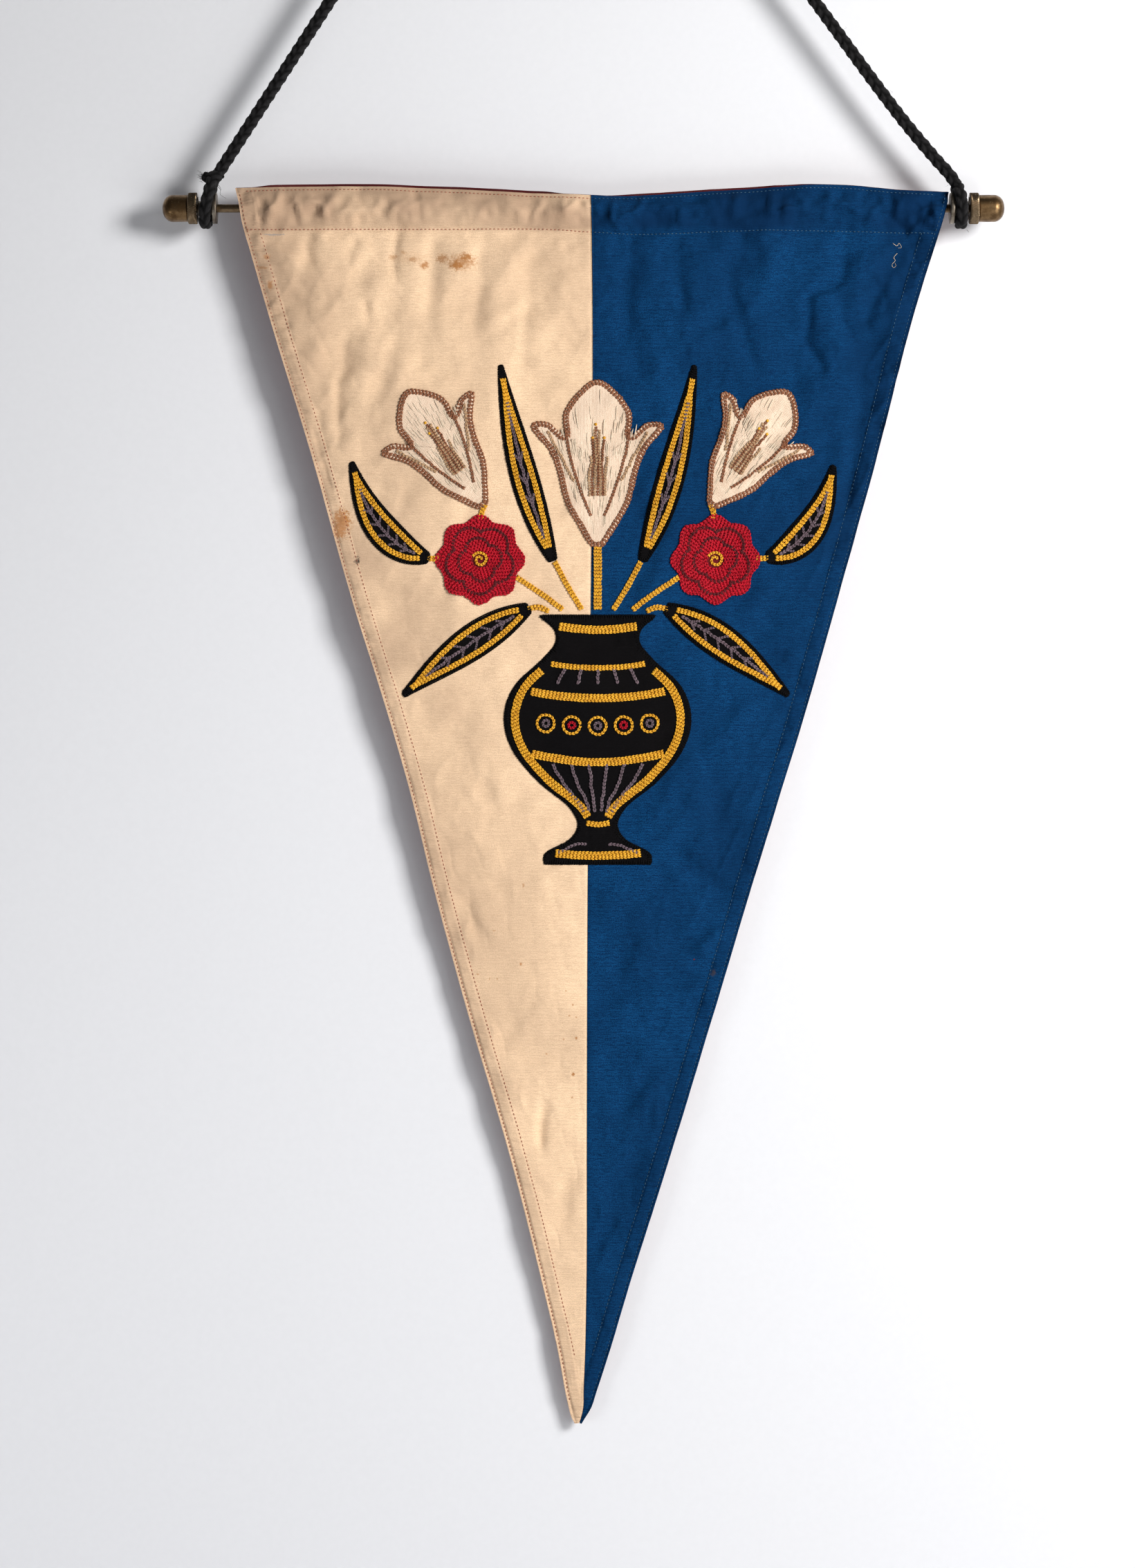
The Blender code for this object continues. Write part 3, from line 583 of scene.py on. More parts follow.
@dataclass
class SharedEffects:
    """The node groups that more than one finish uses."""

    ribs: NodeTree = field(init=False)
    mottle: NodeTree = field(init=False)
    fibres: NodeTree = field(init=False)
    patina: NodeTree = field(init=False)
    spot: NodeTree = field(init=False)

    def __post_init__(self) -> None:
        """Build every group once."""
        self.ribs = self.build_ribs()
        self.mottle = self.build_mottle()
        self.fibres = self.build_fibres()
        self.patina = self.build_patina()
        self.spot = self.build_spot()

    def build_ribs(self) -> NodeTree:
        """Build a ribbed plain weave, whose second coordinate counts the ribs.

        The height is a sine of the rib count plus fine crossing threads. The tone is
        noise drawn out along the ribs, at three widths, as thick and thin yarns show; as it
        reuses the height's noise and rib, raised threads are lighter and hollows darker,
        partly as painted highlight and shade.
        """
        tree, wire, given, out = new_group(
            "ribbed_weave", {"Vector": "Vector"}, {"Height": "Float", "Tone": "Float"})
        wobble = wire.noise(wire.stretch(given["Vector"], (0.03, 0.12, 1.0)), 1.0, 1.0)
        split = wire.add("ShaderNodeSeparateXYZ", {0: given["Vector"]})
        count = wire.math("MULTIPLY_ADD", wobble, 1.6, split.outputs[1])
        rib = wire.math("SINE", wire.math("MULTIPLY", count, TURN))
        yarn = wire.noise(wire.stretch(given["Vector"], (0.22, 1.7, 1.0)), 1.0, 2.0, 0.6)
        slub = wire.noise(wire.stretch(given["Vector"], (0.05, 0.6, 1.0)), 1.0, 2.0, 0.6)
        cross = wire.noise(wire.stretch(given["Vector"], (1.5, 1.2, 1.0)), 1.0, 2.0, 0.6)
        height = wire.math("MULTIPLY_ADD", rib, 0.3, yarn)
        wire.feed(wire.math("MULTIPLY_ADD", cross, 0.7, height), out["Height"])
        # Partly painted highlight and shade: the tone rises with the weave's height.
        tone = wire.math("MULTIPLY_ADD", yarn, 0.35, wire.math("MULTIPLY", slub, 0.15))
        tone = wire.math("MULTIPLY_ADD", rib, 0.05, tone)
        wire.feed(wire.math("MULTIPLY_ADD", cross, 0.5, tone), out["Tone"])
        return tree

    def build_mottle(self) -> NodeTree:
        """Build uneven fading and soil: broad noise broken up by finer noise."""
        tree, wire, given, out = new_group(
            "uneven_soil", {"Vector": "Vector", "Scale": "Float"}, {"Mask": "Float"})
        broad = wire.add("ShaderNodeTexNoise", {"Vector": given["Vector"],
                                                "Scale": given["Scale"], "Detail": 4.0})
        wire.feed(wire.spread(broad.outputs[0], 0.34, 0.68), out["Mask"])
        return tree

    def build_fibres(self) -> NodeTree:
        """Build the twist of a thread, from coordinates round it and along it.

        The height is a sine of both, so its lines slant, and the tone changes from one
        thread to the next.
        """
        tree, wire, given, out = new_group(
            "twisted_fibres", {"Vector": "Vector"}, {"Height": "Float", "Tone": "Float"})
        split = wire.add("ShaderNodeSeparateXYZ", {0: given["Vector"]})
        slant = wire.math("MULTIPLY_ADD", split.outputs[0], 3.0, split.outputs[1])
        line = wire.math("SINE", wire.math("MULTIPLY", slant, TURN))
        wire.feed(line, out["Height"])
        tone = wire.noise(wire.stretch(given["Vector"], (0.4, 0.37, 1.0)), 1.0, 1.0)
        wire.feed(wire.spread(tone, 0.3, 0.7), out["Tone"])
        return tree

    def build_patina(self) -> NodeTree:
        """Build old brass: broad brown clouds, worn bright flecks and fine scratches."""
        tree, wire, given, out = new_group(
            "old_brass_patina", {"Vector": "Vector"},
            {"Cloud": "Float", "Fleck": "Float", "Scratch": "Float"})
        cloud = wire.noise(given["Vector"], 210.0, 4.0, 0.6)
        fleck = wire.noise(given["Vector"], 900.0, 3.0, 0.65)
        scratch = wire.noise(wire.stretch(given["Vector"], (500.0, 4200.0, 4200.0)), 1.0, 2.0)
        wire.feed(wire.spread(cloud, 0.34, 0.66), out["Cloud"])
        wire.feed(wire.spread(fleck, 0.60, 0.74), out["Fleck"])
        wire.feed(scratch, out["Scratch"])
        return tree

    def build_spot(self) -> NodeTree:
        """Build one spot: a soft disc about the origin, ragged at its edge."""
        tree, wire, given, out = new_group(
            "ragged_spot", {"Vector": "Vector", "Ragged": "Float"}, {"Mask": "Float"})
        distance = wire.add("ShaderNodeVectorMath", {0: given["Vector"]}, operation="LENGTH")
        ragged = wire.math("ADD", distance.outputs["Value"], given["Ragged"])
        wire.feed(wire.spread(ragged, 1.3, 0.3), out["Mask"])
        return tree


def new_material(name: str, roughness: float, metallic: float = 0.0, sheen: float = 0.0,
                 shine: float = 0.5) -> tuple[Material, Wiring, Node]:
    """Start a material whose shader has its constant values set."""
    made = bpy.data.materials.new(name)
    made.use_nodes = True
    shader = made.node_tree.nodes["Principled BSDF"]
    for socket, value in (("Roughness", roughness), ("Metallic", metallic),
                          ("Sheen Weight", sheen), ("Specular IOR Level", shine)):
        shader.inputs[socket].default_value = value
    return made, Wiring(made.node_tree), shader


def rgb(red: float, green: float, blue: float) -> tuple[float, float, float, float]:
    """Give a solid colour."""
    return (red, green, blue, 1.0)


MARK_COLOURS = {Mark.RUST: rgb(0.40, 0.155, 0.035), Mark.SOIL: rgb(0.06, 0.045, 0.035),
                Mark.INK: rgb(0.20, 0.24, 0.28)}


@dataclass(frozen=True)
class ClothFinish:
    """A woven cotton or satin, whose UV map is in metres across and down the cloth."""

    # Shares of the painted shade high up and of the heading's darkening.
    HIGH_SHARE: ClassVar[float] = 0.38
    HEADING_SHARE: ClassVar[float] = 1.9
    name: str
    slot: str
    light: tuple
    dark: tuple
    # The darker colour, for soil and for painted shade.
    dark_soil_and_shade: tuple
    roughness: float
    sheen: float
    rib_pitch: float
    bump: float
    soil_share: float = 0.35
    tone_low: float = 0.36
    tone_high: float = 0.64
    shine: float = 0.12
    # How strongly painted shade and edge dirt darken the cloth beyond its uneven soil.
    soil_and_shade: float = 0.0
    crinkle: float = 0.0
    hem_ripple: float = 5.0

    def material(self, effects: SharedEffects, stains: Sequence[Stain] = (),
                 hem_shade: float = 0.0) -> Material:
        """Build the material: yarns light and dark, broad soil and painted shade, and stains.

        Args:
            effects: The shared groups.
            stains: The marks on this cloth.
            hem_shade: How much painted shade darkens the doubled hem band.

        Returns:
            The material.
        """
        made, wire, shader = new_material(self.name, self.roughness, 0.0, self.sheen, self.shine)
        flat = wire.flat_map()
        per_rib = 1.0 / self.rib_pitch
        weave = wire.group(effects.ribs, Vector=wire.stretch(flat, (per_rib, per_rib, 1.0)))
        tone = wire.spread(weave.outputs["Tone"], self.tone_low, self.tone_high)
        colour = wire.mix(tone, self.dark, self.light)
        colour = wire.mix(self.soil(wire, flat, effects), colour, self.dark_soil_and_shade)
        colour = self.stained(wire, flat, effects, stains, colour)
        # Painted shade: the doubled hem band is darkened where it turns away from the light.
        if hem_shade:
            share = wire.math("MULTIPLY", wire.mask("hem"), hem_shade)
            colour = wire.mix(share, colour, self.dark_soil_and_shade)
        wire.feed(colour, shader.inputs["Base Color"])
        height = self.crinkled(wire, flat, weave.outputs["Height"])
        wire.feed(wire.bump(height, self.bump, 0.16 * MM), shader.inputs["Normal"])
        return made

    def soil(self, wire: Wiring, flat: Socket, effects: SharedEffects) -> Socket:
        """Give the darkening: uneven soil, painted shade high up, darker heading and edges."""
        uneven = wire.group(effects.mottle, Vector=flat, Scale=14.0).outputs["Mask"]
        share = wire.math("MULTIPLY", uneven, self.soil_share)
        if not self.soil_and_shade:
            return share
        down = wire.add("ShaderNodeSeparateXYZ", {0: flat}).outputs[1]
        # Painted shade: the cloth is darker high up, where less light falls.
        high = wire.spread(down, -420 * MM, 20 * MM, 0.0, self.soil_and_shade * self.HIGH_SHARE)
        # A darker heading.
        heading = wire.spread(down, -15 * MM, -9 * MM, 0.0, self.soil_and_shade * self.HEADING_SHARE)
        # The edge mask darkens the side edges, partly as dirt and partly as painted shade.
        edge = wire.math("MULTIPLY_ADD", wire.mask("edge"), self.soil_and_shade, heading)
        total = wire.math("ADD", edge, high)
        uneven = wire.spread(uneven, 0.0, 1.0, 0.5, 1.0)
        return wire.math("MINIMUM", wire.math("MULTIPLY_ADD", uneven, total, share), 1.0)

    def stained(self, wire: Wiring, flat: Socket, effects: SharedEffects, stains: Sequence[Stain],
                colour: Socket) -> Socket:
        """Lay each stain over the colour, with an edge that noise makes ragged."""
        ragged = wire.noise(flat, 520.0, 5.0, 0.8)
        ragged = wire.math("MULTIPLY_ADD", ragged, 3.6, -1.8)
        for stain in stains:
            placed = wire.add("ShaderNodeMapping", {
                "Vector": flat, "Location": (-stain.x / stain.width, stain.drop / stain.height, 0),
                "Scale": (1 / stain.width, 1 / stain.height, 1)}).outputs[0]
            mask = wire.group(effects.spot, Vector=placed, Ragged=ragged).outputs["Mask"]
            mask = wire.math("MULTIPLY", mask, stain.strength)
            colour = wire.mix(mask, colour, MARK_COLOURS[stain.kind])
        return colour

    def crinkled(self, wire: Wiring, flat: Socket, height: Socket) -> Socket:
        """Add the smallest wrinkles, and the ripples across the hems, to the weave's height."""
        if not self.crinkle:
            return height
        wrinkle = wire.noise(wire.stretch(flat, (250.0, 170.0, 1.0)), 1.0, 3.0, 0.5)
        height = wire.math("MULTIPLY_ADD", wrinkle, self.crinkle, height)
        ripple = wire.noise(wire.stretch(flat, (90.0, 420.0, 1.0), 0.3), 1.0, 2.0, 0.5)
        ripple = wire.math("MULTIPLY", wire.spread(ripple, 0.25, 0.75), wire.mask("hem"))
        return wire.math("MULTIPLY_ADD", ripple, self.hem_ripple, height)


@dataclass(frozen=True)
class ThreadFinish:
    """A thread, whose UV map counts round it and along it in its own widths."""

    MOST_SHINE: ClassVar[float] = 0.2
    SHINE_PER_RED: ClassVar[float] = 8.0
    name: str
    light: tuple
    dark: tuple
    roughness: float
    sheen: float
    bump: float = 0.5
    slot: str = "embroidery_thread"

    def material(self, effects: SharedEffects) -> Material:
        """Build the material: painted shade in the twist's grooves, and a change of tone."""
        shine = min(self.MOST_SHINE, self.light[0] * self.SHINE_PER_RED)
        made, wire, shader = new_material(self.name, self.roughness, 0.0, self.sheen, shine)
        flat = wire.flat_map()
        twist = wire.group(effects.fibres, Vector=flat)
        # Painted shade: the colour darkens where the twist's height is low, in its grooves.
        lines = wire.spread(twist.outputs["Height"], -1.0, 1.0, 0.6, 1.0)
        tone = wire.math("MULTIPLY_ADD", twist.outputs["Tone"], 0.6, 0.4)
        share = wire.math("MULTIPLY", lines, tone)
        wire.feed(wire.mix(share, self.dark, self.light), shader.inputs["Base Color"])
        normal = wire.bump(twist.outputs["Height"], self.bump, 0.1 * MM)
        wire.feed(normal, shader.inputs["Normal"])
        return made


@dataclass(frozen=True)
class MetalFinish:
    """Old brass, on the object's own coordinates."""

    name: str
    base: tuple
    cloud: tuple
    worn: tuple
    roughness: float
    slot: str = "aged_brass"

    def material(self, effects: SharedEffects) -> Material:
        """Build the material: clouds of patina, bright flecks and fine scratches."""
        made, wire, shader = new_material(self.name, self.roughness, 1.0)
        place = wire.add("ShaderNodeTexCoord").outputs["Object"]
        old = wire.group(effects.patina, Vector=place)
        colour = wire.mix(old.outputs["Cloud"], self.base, self.cloud)
        colour = wire.mix(wire.math("MULTIPLY", old.outputs["Fleck"], 0.7), colour, self.worn)
        wire.feed(colour, shader.inputs["Base Color"])
        gloss = wire.math("MULTIPLY_ADD", old.outputs["Cloud"], 0.18, self.roughness - 0.06)
        wire.feed(gloss, shader.inputs["Roughness"])
        normal = wire.bump(old.outputs["Scratch"], 0.12, 0.05 * MM)
        wire.feed(normal, shader.inputs["Normal"])
        return made


CREAM = ClothFinish("cream_ribbed_cotton", "cream_cotton", rgb(0.96, 0.695, 0.460),
                    rgb(0.76, 0.535, 0.345), rgb(0.47, 0.318, 0.212), 0.9, 0.03, 0.86 * MM, 0.6,
                    soil_share=0.24, soil_and_shade=0.5, tone_low=0.43, tone_high=0.57, crinkle=2.6)
BLUE = ClothFinish("blue_ribbed_cotton", "blue_cotton", rgb(0.0036, 0.056, 0.166),
                   rgb(0.0014, 0.022, 0.076), rgb(0.0018, 0.021, 0.070), 0.9, 0.0, 0.86 * MM, 0.8,
                   soil_and_shade=0.34, tone_low=0.465, tone_high=0.535, shine=0.06, crinkle=3.4)
RED_BACKING = ClothFinish("dark_red_backing", "dark_red_cotton", rgb(0.165, 0.020, 0.022),
                          rgb(0.075, 0.008, 0.010), rgb(0.11, 0.016, 0.016), 0.85, 0.1,
                          0.7 * MM, 0.3)
BLACK_COTTON = ClothFinish("black_plain_cotton", "black_cotton", rgb(0.0062, 0.0056, 0.0062),
                           rgb(0.0022, 0.0020, 0.0024), rgb(0.006, 0.005, 0.005), 0.9, 0.0,
                           0.5 * MM, 0.25, shine=0.04)
SATIN = ClothFinish("cream_satin_stitch", "cream_satin", rgb(0.87, 0.69, 0.52),
                    rgb(0.66, 0.47, 0.33), rgb(0.76, 0.57, 0.42), 0.5, 0.1, 0.75 * MM, 0.7,
                    tone_low=0.40, tone_high=0.60, shine=0.4)
ROSE_GROUND = ClothFinish("rose_ground", "embroidery_thread", rgb(0.20, 0.012, 0.018),
                          rgb(0.10, 0.005, 0.008), rgb(0.12, 0.008, 0.010), 0.85, 0.1,
                          0.7 * MM, 0.4)

THREADS = {
    Thread.GOLD: ThreadFinish("gold_thread", rgb(1.0, 0.55, 0.045), rgb(0.50, 0.19, 0.008),
                              0.5, 0.0),
    Thread.MAUVE: ThreadFinish("mauve_thread", rgb(0.195, 0.135, 0.160), rgb(0.070, 0.042, 0.052),
                               0.55, 0.2),
    Thread.RED: ThreadFinish("red_thread", rgb(0.60, 0.006, 0.024), rgb(0.22, 0.002, 0.008),
                             0.6, 0.0),
    Thread.DARK_RED: ThreadFinish("dark_red_thread", rgb(0.13, 0.006, 0.010),
                                  rgb(0.045, 0.002, 0.004), 0.55, 0.1),
    Thread.BROWN: ThreadFinish("brown_thread", rgb(0.36, 0.145, 0.070), rgb(0.14, 0.048, 0.022),
                               0.55, 0.0),
    Thread.TAN: ThreadFinish("tan_thread", rgb(0.62, 0.40, 0.22), rgb(0.30, 0.165, 0.085),
                             0.55, 0.15),
    Thread.BLACK: ThreadFinish("black_thread", rgb(0.0068, 0.0062, 0.0068),
                               rgb(0.0018, 0.0018, 0.0018), 0.9, 0.0),
    Thread.CREAM: ThreadFinish("cream_thread", rgb(0.84, 0.70, 0.53), rgb(0.60, 0.45, 0.31),
                               0.5, 0.2),
    Thread.SEWING_BROWN: ThreadFinish("brown_sewing_thread", rgb(0.42, 0.155, 0.10),
                                      rgb(0.27, 0.095, 0.06), 0.7, 0.0, 0.3),
    Thread.SEWING_BLUE: ThreadFinish("blue_sewing_thread", rgb(0.055, 0.13, 0.215),
                                     rgb(0.012, 0.045, 0.09), 0.7, 0.0, 0.3)}

DOME_BRASS = MetalFinish("dome_brass", rgb(0.20, 0.125, 0.060), rgb(0.100, 0.058, 0.026),
                         rgb(0.36, 0.26, 0.145), 0.36)
COLLAR_BRASS = MetalFinish("collar_brass", rgb(0.26, 0.19, 0.115), rgb(0.12, 0.078, 0.044),
                           rgb(0.60, 0.50, 0.36), 0.30)
FLANGE_METAL = MetalFinish("flange_metal", rgb(0.24, 0.21, 0.17), rgb(0.13, 0.105, 0.08),
                           rgb(0.48, 0.44, 0.38), 0.36)
ROD_BRASS = MetalFinish("rod_brass", rgb(0.20, 0.14, 0.082), rgb(0.10, 0.064, 0.035),
                        rgb(0.34, 0.26, 0.17), 0.36)


@dataclass(frozen=True)
class CordFinish:
    """Black braided cotton, whose UV map counts round the cord and along its scallops."""

    name: str = "black_braid"
    slot: str = "black_cord"
    light: tuple = rgb(0.021, 0.020, 0.021)
    dark: tuple = rgb(0.0012, 0.0011, 0.0013)

    def material(self) -> Material:
        """Build the material: slanting fibres, pale worn flecks, painted shade in the grooves."""
        made, wire, shader = new_material(self.name, roughness=0.9, sheen=0.03, shine=0.15)
        flat = wire.flat_map()
        fibre = wire.noise(wire.stretch(flat, (26.0, 3.0, 1.0), 0.7), 1.0, 3.0, 0.7)
        # Painted shade: the crest mask darkens the braid where it lies low, between its lobes.
        crest = wire.mask("crest")
        share = wire.math("MULTIPLY", wire.spread(fibre, 0.3, 0.7, 0.35, 1.0),
                          wire.spread(crest, 0.15, 0.95))
        wire.feed(wire.mix(share, self.dark, self.light), shader.inputs["Base Color"])
        normal = wire.bump(fibre, 0.8, 0.25 * MM)
        wire.feed(normal, shader.inputs["Normal"])
        return made


class ClothShape:
    """The hanging cloth's surfaces, as functions of x and drop."""

    HEM_LIFT = 0.6 * MM
    HEM_RIPPLE = 0.7 * MM
    RIPPLE_LENGTH = 8.0 * MM
    GROOVE_DEPTH = 0.7 * MM
    GROOVE_WIDTH = 0.8 * MM
    SEAM_DEPTH = 0.35 * MM
    SEAM_WIDTH = 1.0 * MM
    CREASE_DEPTH = 1.7
    HEADING_DEPTH = 2.6
    LOW_DEPTH = 2.6
    DRAPE = -0.5
    BLUE_GAIN = 0.7
    TROUGH_LIMIT = 3.2 * MM
    ROD_CLEARANCE = 0.3 * MM
    FOLD_SHIFT = Noise(5 * MM, 24 * MM, 61)
    FOLD_SLIP = Noise(10 * MM, 30 * MM, 62)
    CREASE_SHIFT = Noise(1.6 * MM, 12 * MM, 51)
    CREASE_SLIP = Noise(1.6 * MM, 12 * MM, 52)
    GATHER_BEND = Noise(4 * MM, 13 * MM, 45)
    LOW_GATHER = Noise(1.3, 7.5 * MM, 41)
    PUCKER_LINE = Noise(1.0, 8 * MM, 43)
    HIGH_GATHER = Noise(0.8, 9 * MM, 46)
    SMALL_GATHER = Noise(0.5, 3.6 * MM, 44)
    WAVE_BEND = Noise(9 * MM, 31 * MM, 9)
    WAVES = (Noise(1.4, 23 * MM, 3), Noise(0.85, 12 * MM, 5), Noise(0.26, 5 * MM, 8))
    RIDGE_LINE = Noise(1.0, 19 * MM, 71)
    DENT_LINE = Noise(1.0, 14 * MM, 72)
    HEM_SWELL = Noise(0.7, 21 * MM, 12)
    HEM_PHASE = Noise(2.6, 16 * MM, 11)
    STITCH_PULL = Noise(0.8, 5 * MM, 21)

    def edges(self, drop: Array) -> tuple[Array, Array, Array]:
        """Give the left edge, the seam and the right edge at each drop."""
        return (smooth_line(drop, SECTIONS, "left"), smooth_line(drop, SECTIONS, "seam"),
                smooth_line(drop, SECTIONS, "right"))

    def edge_distance(self, x: Array, drop: Array) -> Array:
        """Give how far inside the nearer side edge each place is, square to that edge."""
        left, _, right = self.edges(drop)
        return np.minimum(x - left, right - x) * SQUARE_TO_SIDE

    def channel_opening(self, x: Array, drop: Array) -> Array:
        """Give how far each layer of the heading stands off to let the rod through."""
        share = np.clip(np.abs(drop) / np.where(drop < 0, *heading_lines(x)), 0, 1)
        return CHANNEL_OPENING * np.cos(np.pi / 2 * share) ** CHANNEL_SHARPNESS

    def pucker_height(self, x: Array, drop: Array) -> Array:
        """Give the heading's ridges: bell curves across, fading at the edge and stitching."""
        top, stitch = heading_lines(x)
        down = np.clip((drop + top) / (top + stitch), 0, 1)
        height = np.zeros_like(x)
        for row in PUCKERS:
            crest = row.top_x + (row.low_x - row.top_x) * down
            height += row.height * bell(x - crest, row.width)
        return height * np.sin(np.pi * down) ** PUCKER_ROUNDNESS

    def body_depth(self, x: Array, drop: Array) -> Array:
        """Give the folds and bellies of both layers: bell curves across each crest."""
        depth = np.zeros_like(x)
        shift = self.FOLD_SHIFT.at(x, drop * 0.6)
        x, drop = x + shift, drop + self.FOLD_SLIP.at(x, drop)
        for row in FOLDS:
            along = (drop - row.top_drop) / (row.low_drop - row.top_drop)
            crest = row.top_x + (row.low_x - row.top_x) * along
            width = np.where(x < crest, row.left_width, row.right_width)
            fade = (smooth_step((along + FOLD_LEAD) / FOLD_RISE)
                    * smooth_step((1 + FOLD_TRAIL - along) / FOLD_FALL))
            depth += row.height * bell(x - crest, width) * fade
        for row in BELLIES:
            distance = ((x - row.x) / row.width) ** 2 + ((drop - row.drop) / row.reach) ** 2
            depth += row.height * np.exp(-distance)
        stitch = smooth_line(x, HEADING, "stitch")
        return depth * smooth_step((drop - stitch) / FOLD_FADE_IN)

    def ruffle(self, x: Array, drop: Array) -> Array:
        """Give the slight wave of the top edge, clear of the rod."""
        wave = RUFFLE_HEIGHT * np.sin(TURN * x / RUFFLE_LENGTH)
        return wave * smooth_step((-drop - RUFFLE_START) / RUFFLE_FADE)

    def crease_height(self, x: Array, drop: Array) -> Array:
        """Give the fine creases: a bell curve square to each bowed line, faded at its ends."""
        height = np.zeros_like(x)
        near = x + self.CREASE_SHIFT.at(x, drop)
        low = drop + self.CREASE_SLIP.at(x, drop)
        for row in CREASES:
            run = np.array([row.low_x - row.top_x, row.low_drop - row.top_drop])
            length = np.linalg.norm(run)
            dx, dd = near - row.top_x, low - row.top_drop
            along = (dx * run[0] + dd * run[1]) / length ** 2
            across = (dd * run[0] - dx * run[1]) / length
            across = across - 4 * row.bow * along * (1 - along)
            fade = smooth_step((along + 0.15) / 0.4) * smooth_step((1.15 - along) / 0.4)
            height += row.height * bell(across, row.width) * fade
        upper = smooth_step((14 * MM - drop) / (6 * MM))
        lower = smooth_step((drop - 300 * MM) / (80 * MM))
        return height * (self.CREASE_DEPTH + (self.HEADING_DEPTH - self.CREASE_DEPTH) * upper
                         + (self.LOW_DEPTH - self.CREASE_DEPTH) * lower)

    def gathers(self, x: Array, drop: Array) -> Array:
        """Give the short puckers that the heading's stitching draws into the cloth.

        They are noise stretched downwards, strongest at the stitching, and another set
        between it and the top edge.
        """
        top, stitch = heading_lines(x)
        below = np.clip((drop - stitch) / (26 * MM), 0, 1)
        bent = x + self.GATHER_BEND.at(x, drop)
        low = (self.LOW_GATHER.at(bent, drop * 0.45) * (1 - below) ** 1.5
               * smooth_step((drop - stitch) / (3 * MM)))
        share = np.clip((drop + top) / (top + stitch), 0, 1)
        pucker = self.PUCKER_LINE.at(bent, drop * 0.35)
        high = (self.HIGH_GATHER.at(x, drop * 0.5) + 1.1 * np.exp(-np.abs(pucker) / 0.2)
                - 0.4 + self.SMALL_GATHER.at(x, drop * 0.7))
        return 1.1 * MM * low + 1.9 * MM * high * np.sin(np.pi * share) * (drop <= stitch)

    def crumple(self, x: Array, drop: Array) -> Array:
        """Give low uneven waves: noise at three lengths, calmer towards the tip."""
        calm = 0.72 + 0.28 * smooth_step((260 * MM - drop) / (220 * MM))
        bend = self.WAVE_BEND.at(x, drop)
        broad, middle, small = self.WAVES
        waves = (broad.at(x + bend, drop + bend) + middle.at(x + 0.5 * drop + bend, drop)
                 + small.at(x - 0.3 * drop, drop))
        ridge = self.RIDGE_LINE.at(x + 0.55 * drop, 0.9 * drop - 0.3 * x)
        dent = self.DENT_LINE.at(x - 0.4 * drop, drop + 0.2 * x)
        rough = 0.35 + 0.65 * smooth_step(1 - self.edge_distance(x, drop) / (80 * MM))
        waves += rough * (0.9 * np.exp(-np.abs(ridge) / 0.16) - 0.7 * np.exp(-np.abs(dent) / 0.15))
        return waves * MM * calm

    def relief(self, x: Array, drop: Array) -> Array:
        """Give what both layers share beyond the solids: drape, creases and crumples."""
        fine = self.crease_height(x, drop) + self.crumple(x, drop) + self.gathers(x, drop)
        seam = self.edges(drop)[1]
        fine = fine * (1 + self.BLUE_GAIN * smooth_step((x - seam) / (10 * MM)))
        limit = self.TROUGH_LIMIT
        fine = np.where(fine < 0, limit * np.tanh(fine / limit), fine)
        return fine + self.DRAPE * self.body_depth(x, drop)

    def hem_height(self, x: Array, drop: Array) -> Array:
        """Give the doubled side hems: a step, cross ripples, and a groove at each row."""
        inside = self.edge_distance(x, drop)
        below = smooth_step((drop - smooth_line(x, HEADING, "stitch")) / (3 * MM))
        band = smooth_step(1 - (inside - INNER_ROW - 0.2 * MM) / (1.2 * MM)) * below
        swell = 0.6 + self.HEM_SWELL.at(x * 0.2, drop)
        phase = TURN * drop / self.RIPPLE_LENGTH + self.HEM_PHASE.at(x, drop)
        window = np.sin(np.pi * np.clip(inside / (INNER_ROW + 2 * MM), 0, 1))
        ripple = self.HEM_RIPPLE * swell * np.sin(phase) * window * below
        groove = np.zeros_like(x)
        for row in (OUTER_ROW, INNER_ROW):
            groove += bell(inside - row, self.GROOVE_WIDTH)
        return band * self.HEM_LIFT + ripple - self.GROOVE_DEPTH * groove * below

    def stitch_groove(self, x: Array, drop: Array) -> Array:
        """Give the groove along the heading's stitching and under the top edge's row."""
        top, stitch = heading_lines(x)
        pull = 1 + self.STITCH_PULL.at(x, drop * 0)
        groove = bell(drop - stitch, 1.1 * MM) * pull
        return 0.6 * MM * groove + 0.15 * MM * bell(drop + top - EDGE_ROW, MM)

    def front_y(self, x: Array, drop: Array) -> Array:
        """Give the middle of the front layers, as the solids have it."""
        forward = self.body_depth(x, drop) + self.ruffle(x, drop)
        return -forward - HALF_STACK - self.channel_opening(x, drop) - self.pucker_height(x, drop)

    def backing_y(self, x: Array, drop: Array) -> Array:
        """Give the middle of the backing, as the solid has it."""
        forward = self.body_depth(x, drop) + self.ruffle(x, drop)
        back = HALF_STACK + self.channel_opening(x, drop)
        return back - forward + BACKING_PUCKER_SHARE * self.pucker_height(x, drop)

    def face_y(self, x: Array, drop: Array) -> Array:
        """Give the outer face of the front layers, with every fine crease."""
        _, seam, _ = self.edges(drop)
        valley = self.SEAM_DEPTH * bell(x - seam, self.SEAM_WIDTH)
        fine = (self.relief(x, drop) + self.hem_height(x, drop)
                - self.stitch_groove(x, drop) - valley)
        y = self.front_y(x, drop) - SHEET_THICKNESS / 2 - fine
        over_rod = self.rod_reach(drop, SHEET_THICKNESS)
        return np.where(over_rod > 0, np.minimum(y, -over_rod), y)

    def rod_reach(self, drop: Array, beyond: float = 0.0) -> Array:
        """Give how far a face must stand from the rod's axis plane to clear the rod."""
        radius = ROD_RADIUS + self.ROD_CLEARANCE + beyond
        return np.sqrt(np.clip(radius ** 2 - drop ** 2, 0, None))

    def place(self, x: Array, drop: Array, lift: Array | float = 0.0) -> Array:
        """Give points that stand in front of the cloth's face by their lift."""
        return np.stack([x, self.face_y(x, drop) - lift, ROD_Z - drop], axis=-1)

